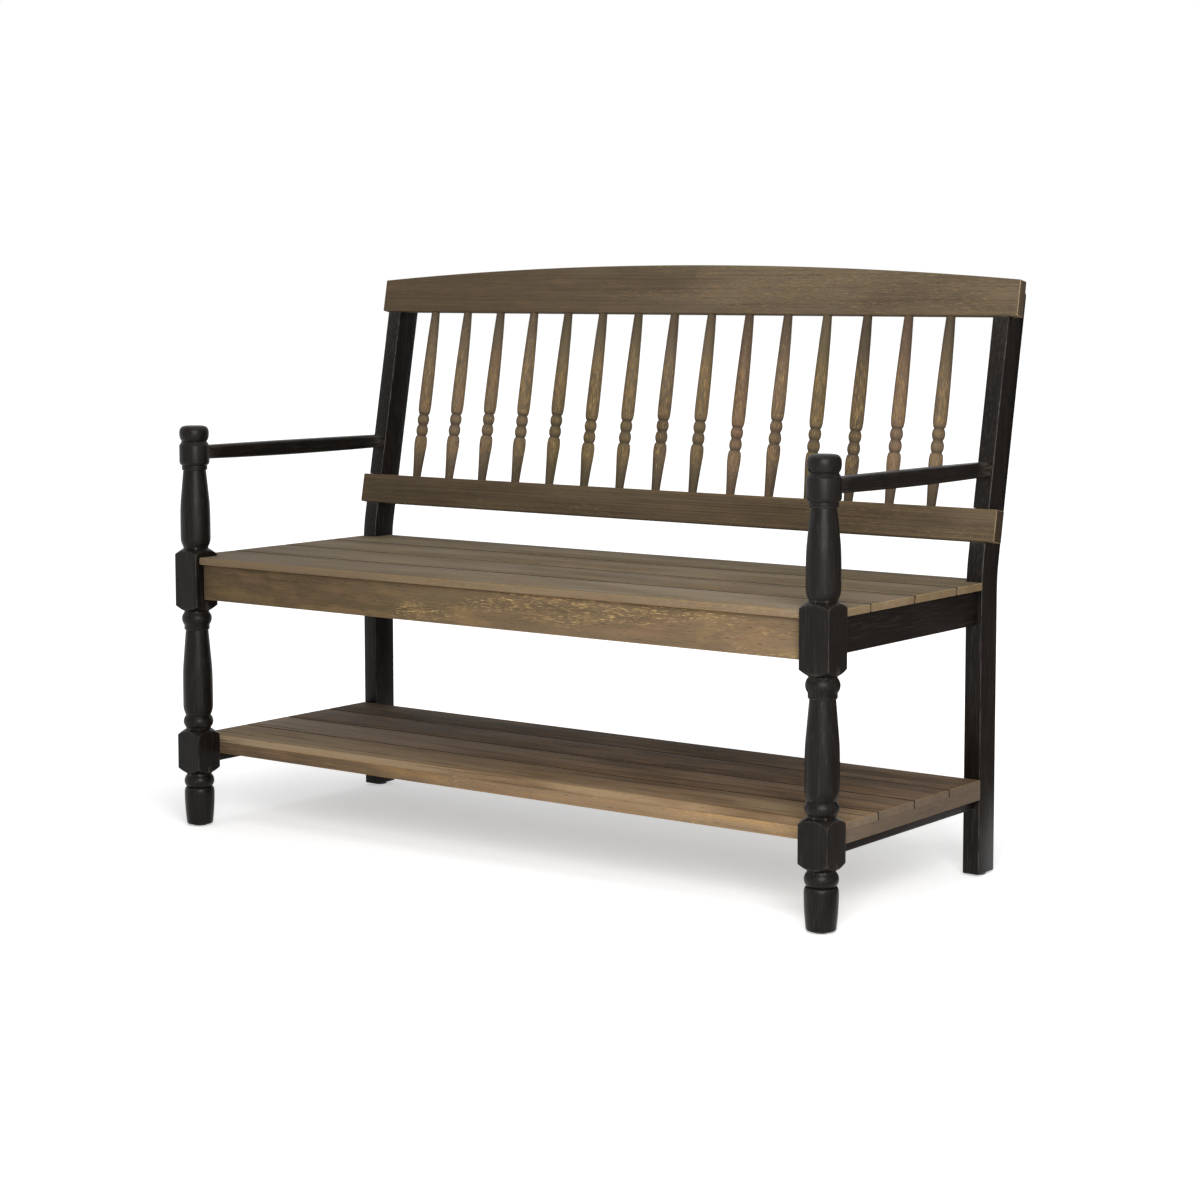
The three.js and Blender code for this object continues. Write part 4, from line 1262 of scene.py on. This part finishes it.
softbox("key_softbox", 80, 1.5, (1.95, -2.2, 1.4), (0.2, -0.1, 0.45))
softbox("top_softbox", 26, 2.5, (0, -0.6, 3.2), (0, -0.1, 0.4))


def flag(name, colour, place, size, turn=(0, 0, 0)):
    """A sheet beside the set that only reflections see."""
    nothing_selected()
    bpy.ops.mesh.primitive_plane_add(size=1, location=place)
    sheet = bpy.context.object
    sheet.name = name
    sheet.scale = (*size, 1)
    sheet.rotation_euler = turn
    material, tree = new_material(name)
    matt = add_node(tree, "BsdfDiffuse", {"Color": rgb(colour)})
    add_node(tree, "OutputMaterial", {"Surface": matt})
    sheet.data.materials.append(material)
    sheet.visible_camera = False
    sheet.visible_diffuse = False
    sheet.visible_shadow = False


WARM_GREY, BLACK = "#c6b3a8", "#0a0a0a"
upright = (math.radians(90), 0, math.radians(-30))
flag("grey_card", WARM_GREY, (2.35, 1.7, 1.2), (1.8, 2.4), upright)
flag("black_card", BLACK, (1.05, 2.45, 1.2), (1.2, 2.4), upright)
flag("grey_cloth", WARM_GREY, (1.75, 0.9, 0.002), (2.0, 2.6))
flag("black_cloth", BLACK, (0.2, 1.6, 0.003), (1.2, 2.0))

# %% [markdown]
# The camera stands to the right of the bench, a little above the seat, with a long lens. Its place,
# angle and lens were worked out from the straight and parallel edges of the bench in the
# photograph.

# %% Camera
camera_data = bpy.data.cameras.new("camera")
camera = bpy.data.objects.new("camera", camera_data)
bpy.context.collection.objects.link(camera)
PICTURE_PX = 1200
FOCAL_PX = 2609.74
AXIS_PX = (610.63, 531.55)
SENSOR_MM = 36
DOWN, ROLL, ASIDE = 5.434, 0.036, 36.699
camera_data.sensor_width = SENSOR_MM
camera_data.lens = SENSOR_MM * FOCAL_PX / PICTURE_PX
camera_data.shift_x = (PICTURE_PX / 2 - AXIS_PX[0]) / PICTURE_PX
camera_data.shift_y = (AXIS_PX[1] - PICTURE_PX / 2) / PICTURE_PX
camera_data.clip_end = 200
camera.location = mm(2565.6, -3378.14, 920.7)
camera.rotation_euler = [math.radians(angle) for angle in (90 - DOWN, ROLL, ASIDE)]
bpy.context.scene.camera = camera
bpy.context.scene.view_settings.view_transform = "Standard"

# %% [markdown]
# The last cell leaves nothing selected and updates the view layer.

nothing_selected()
bpy.context.view_layer.update()
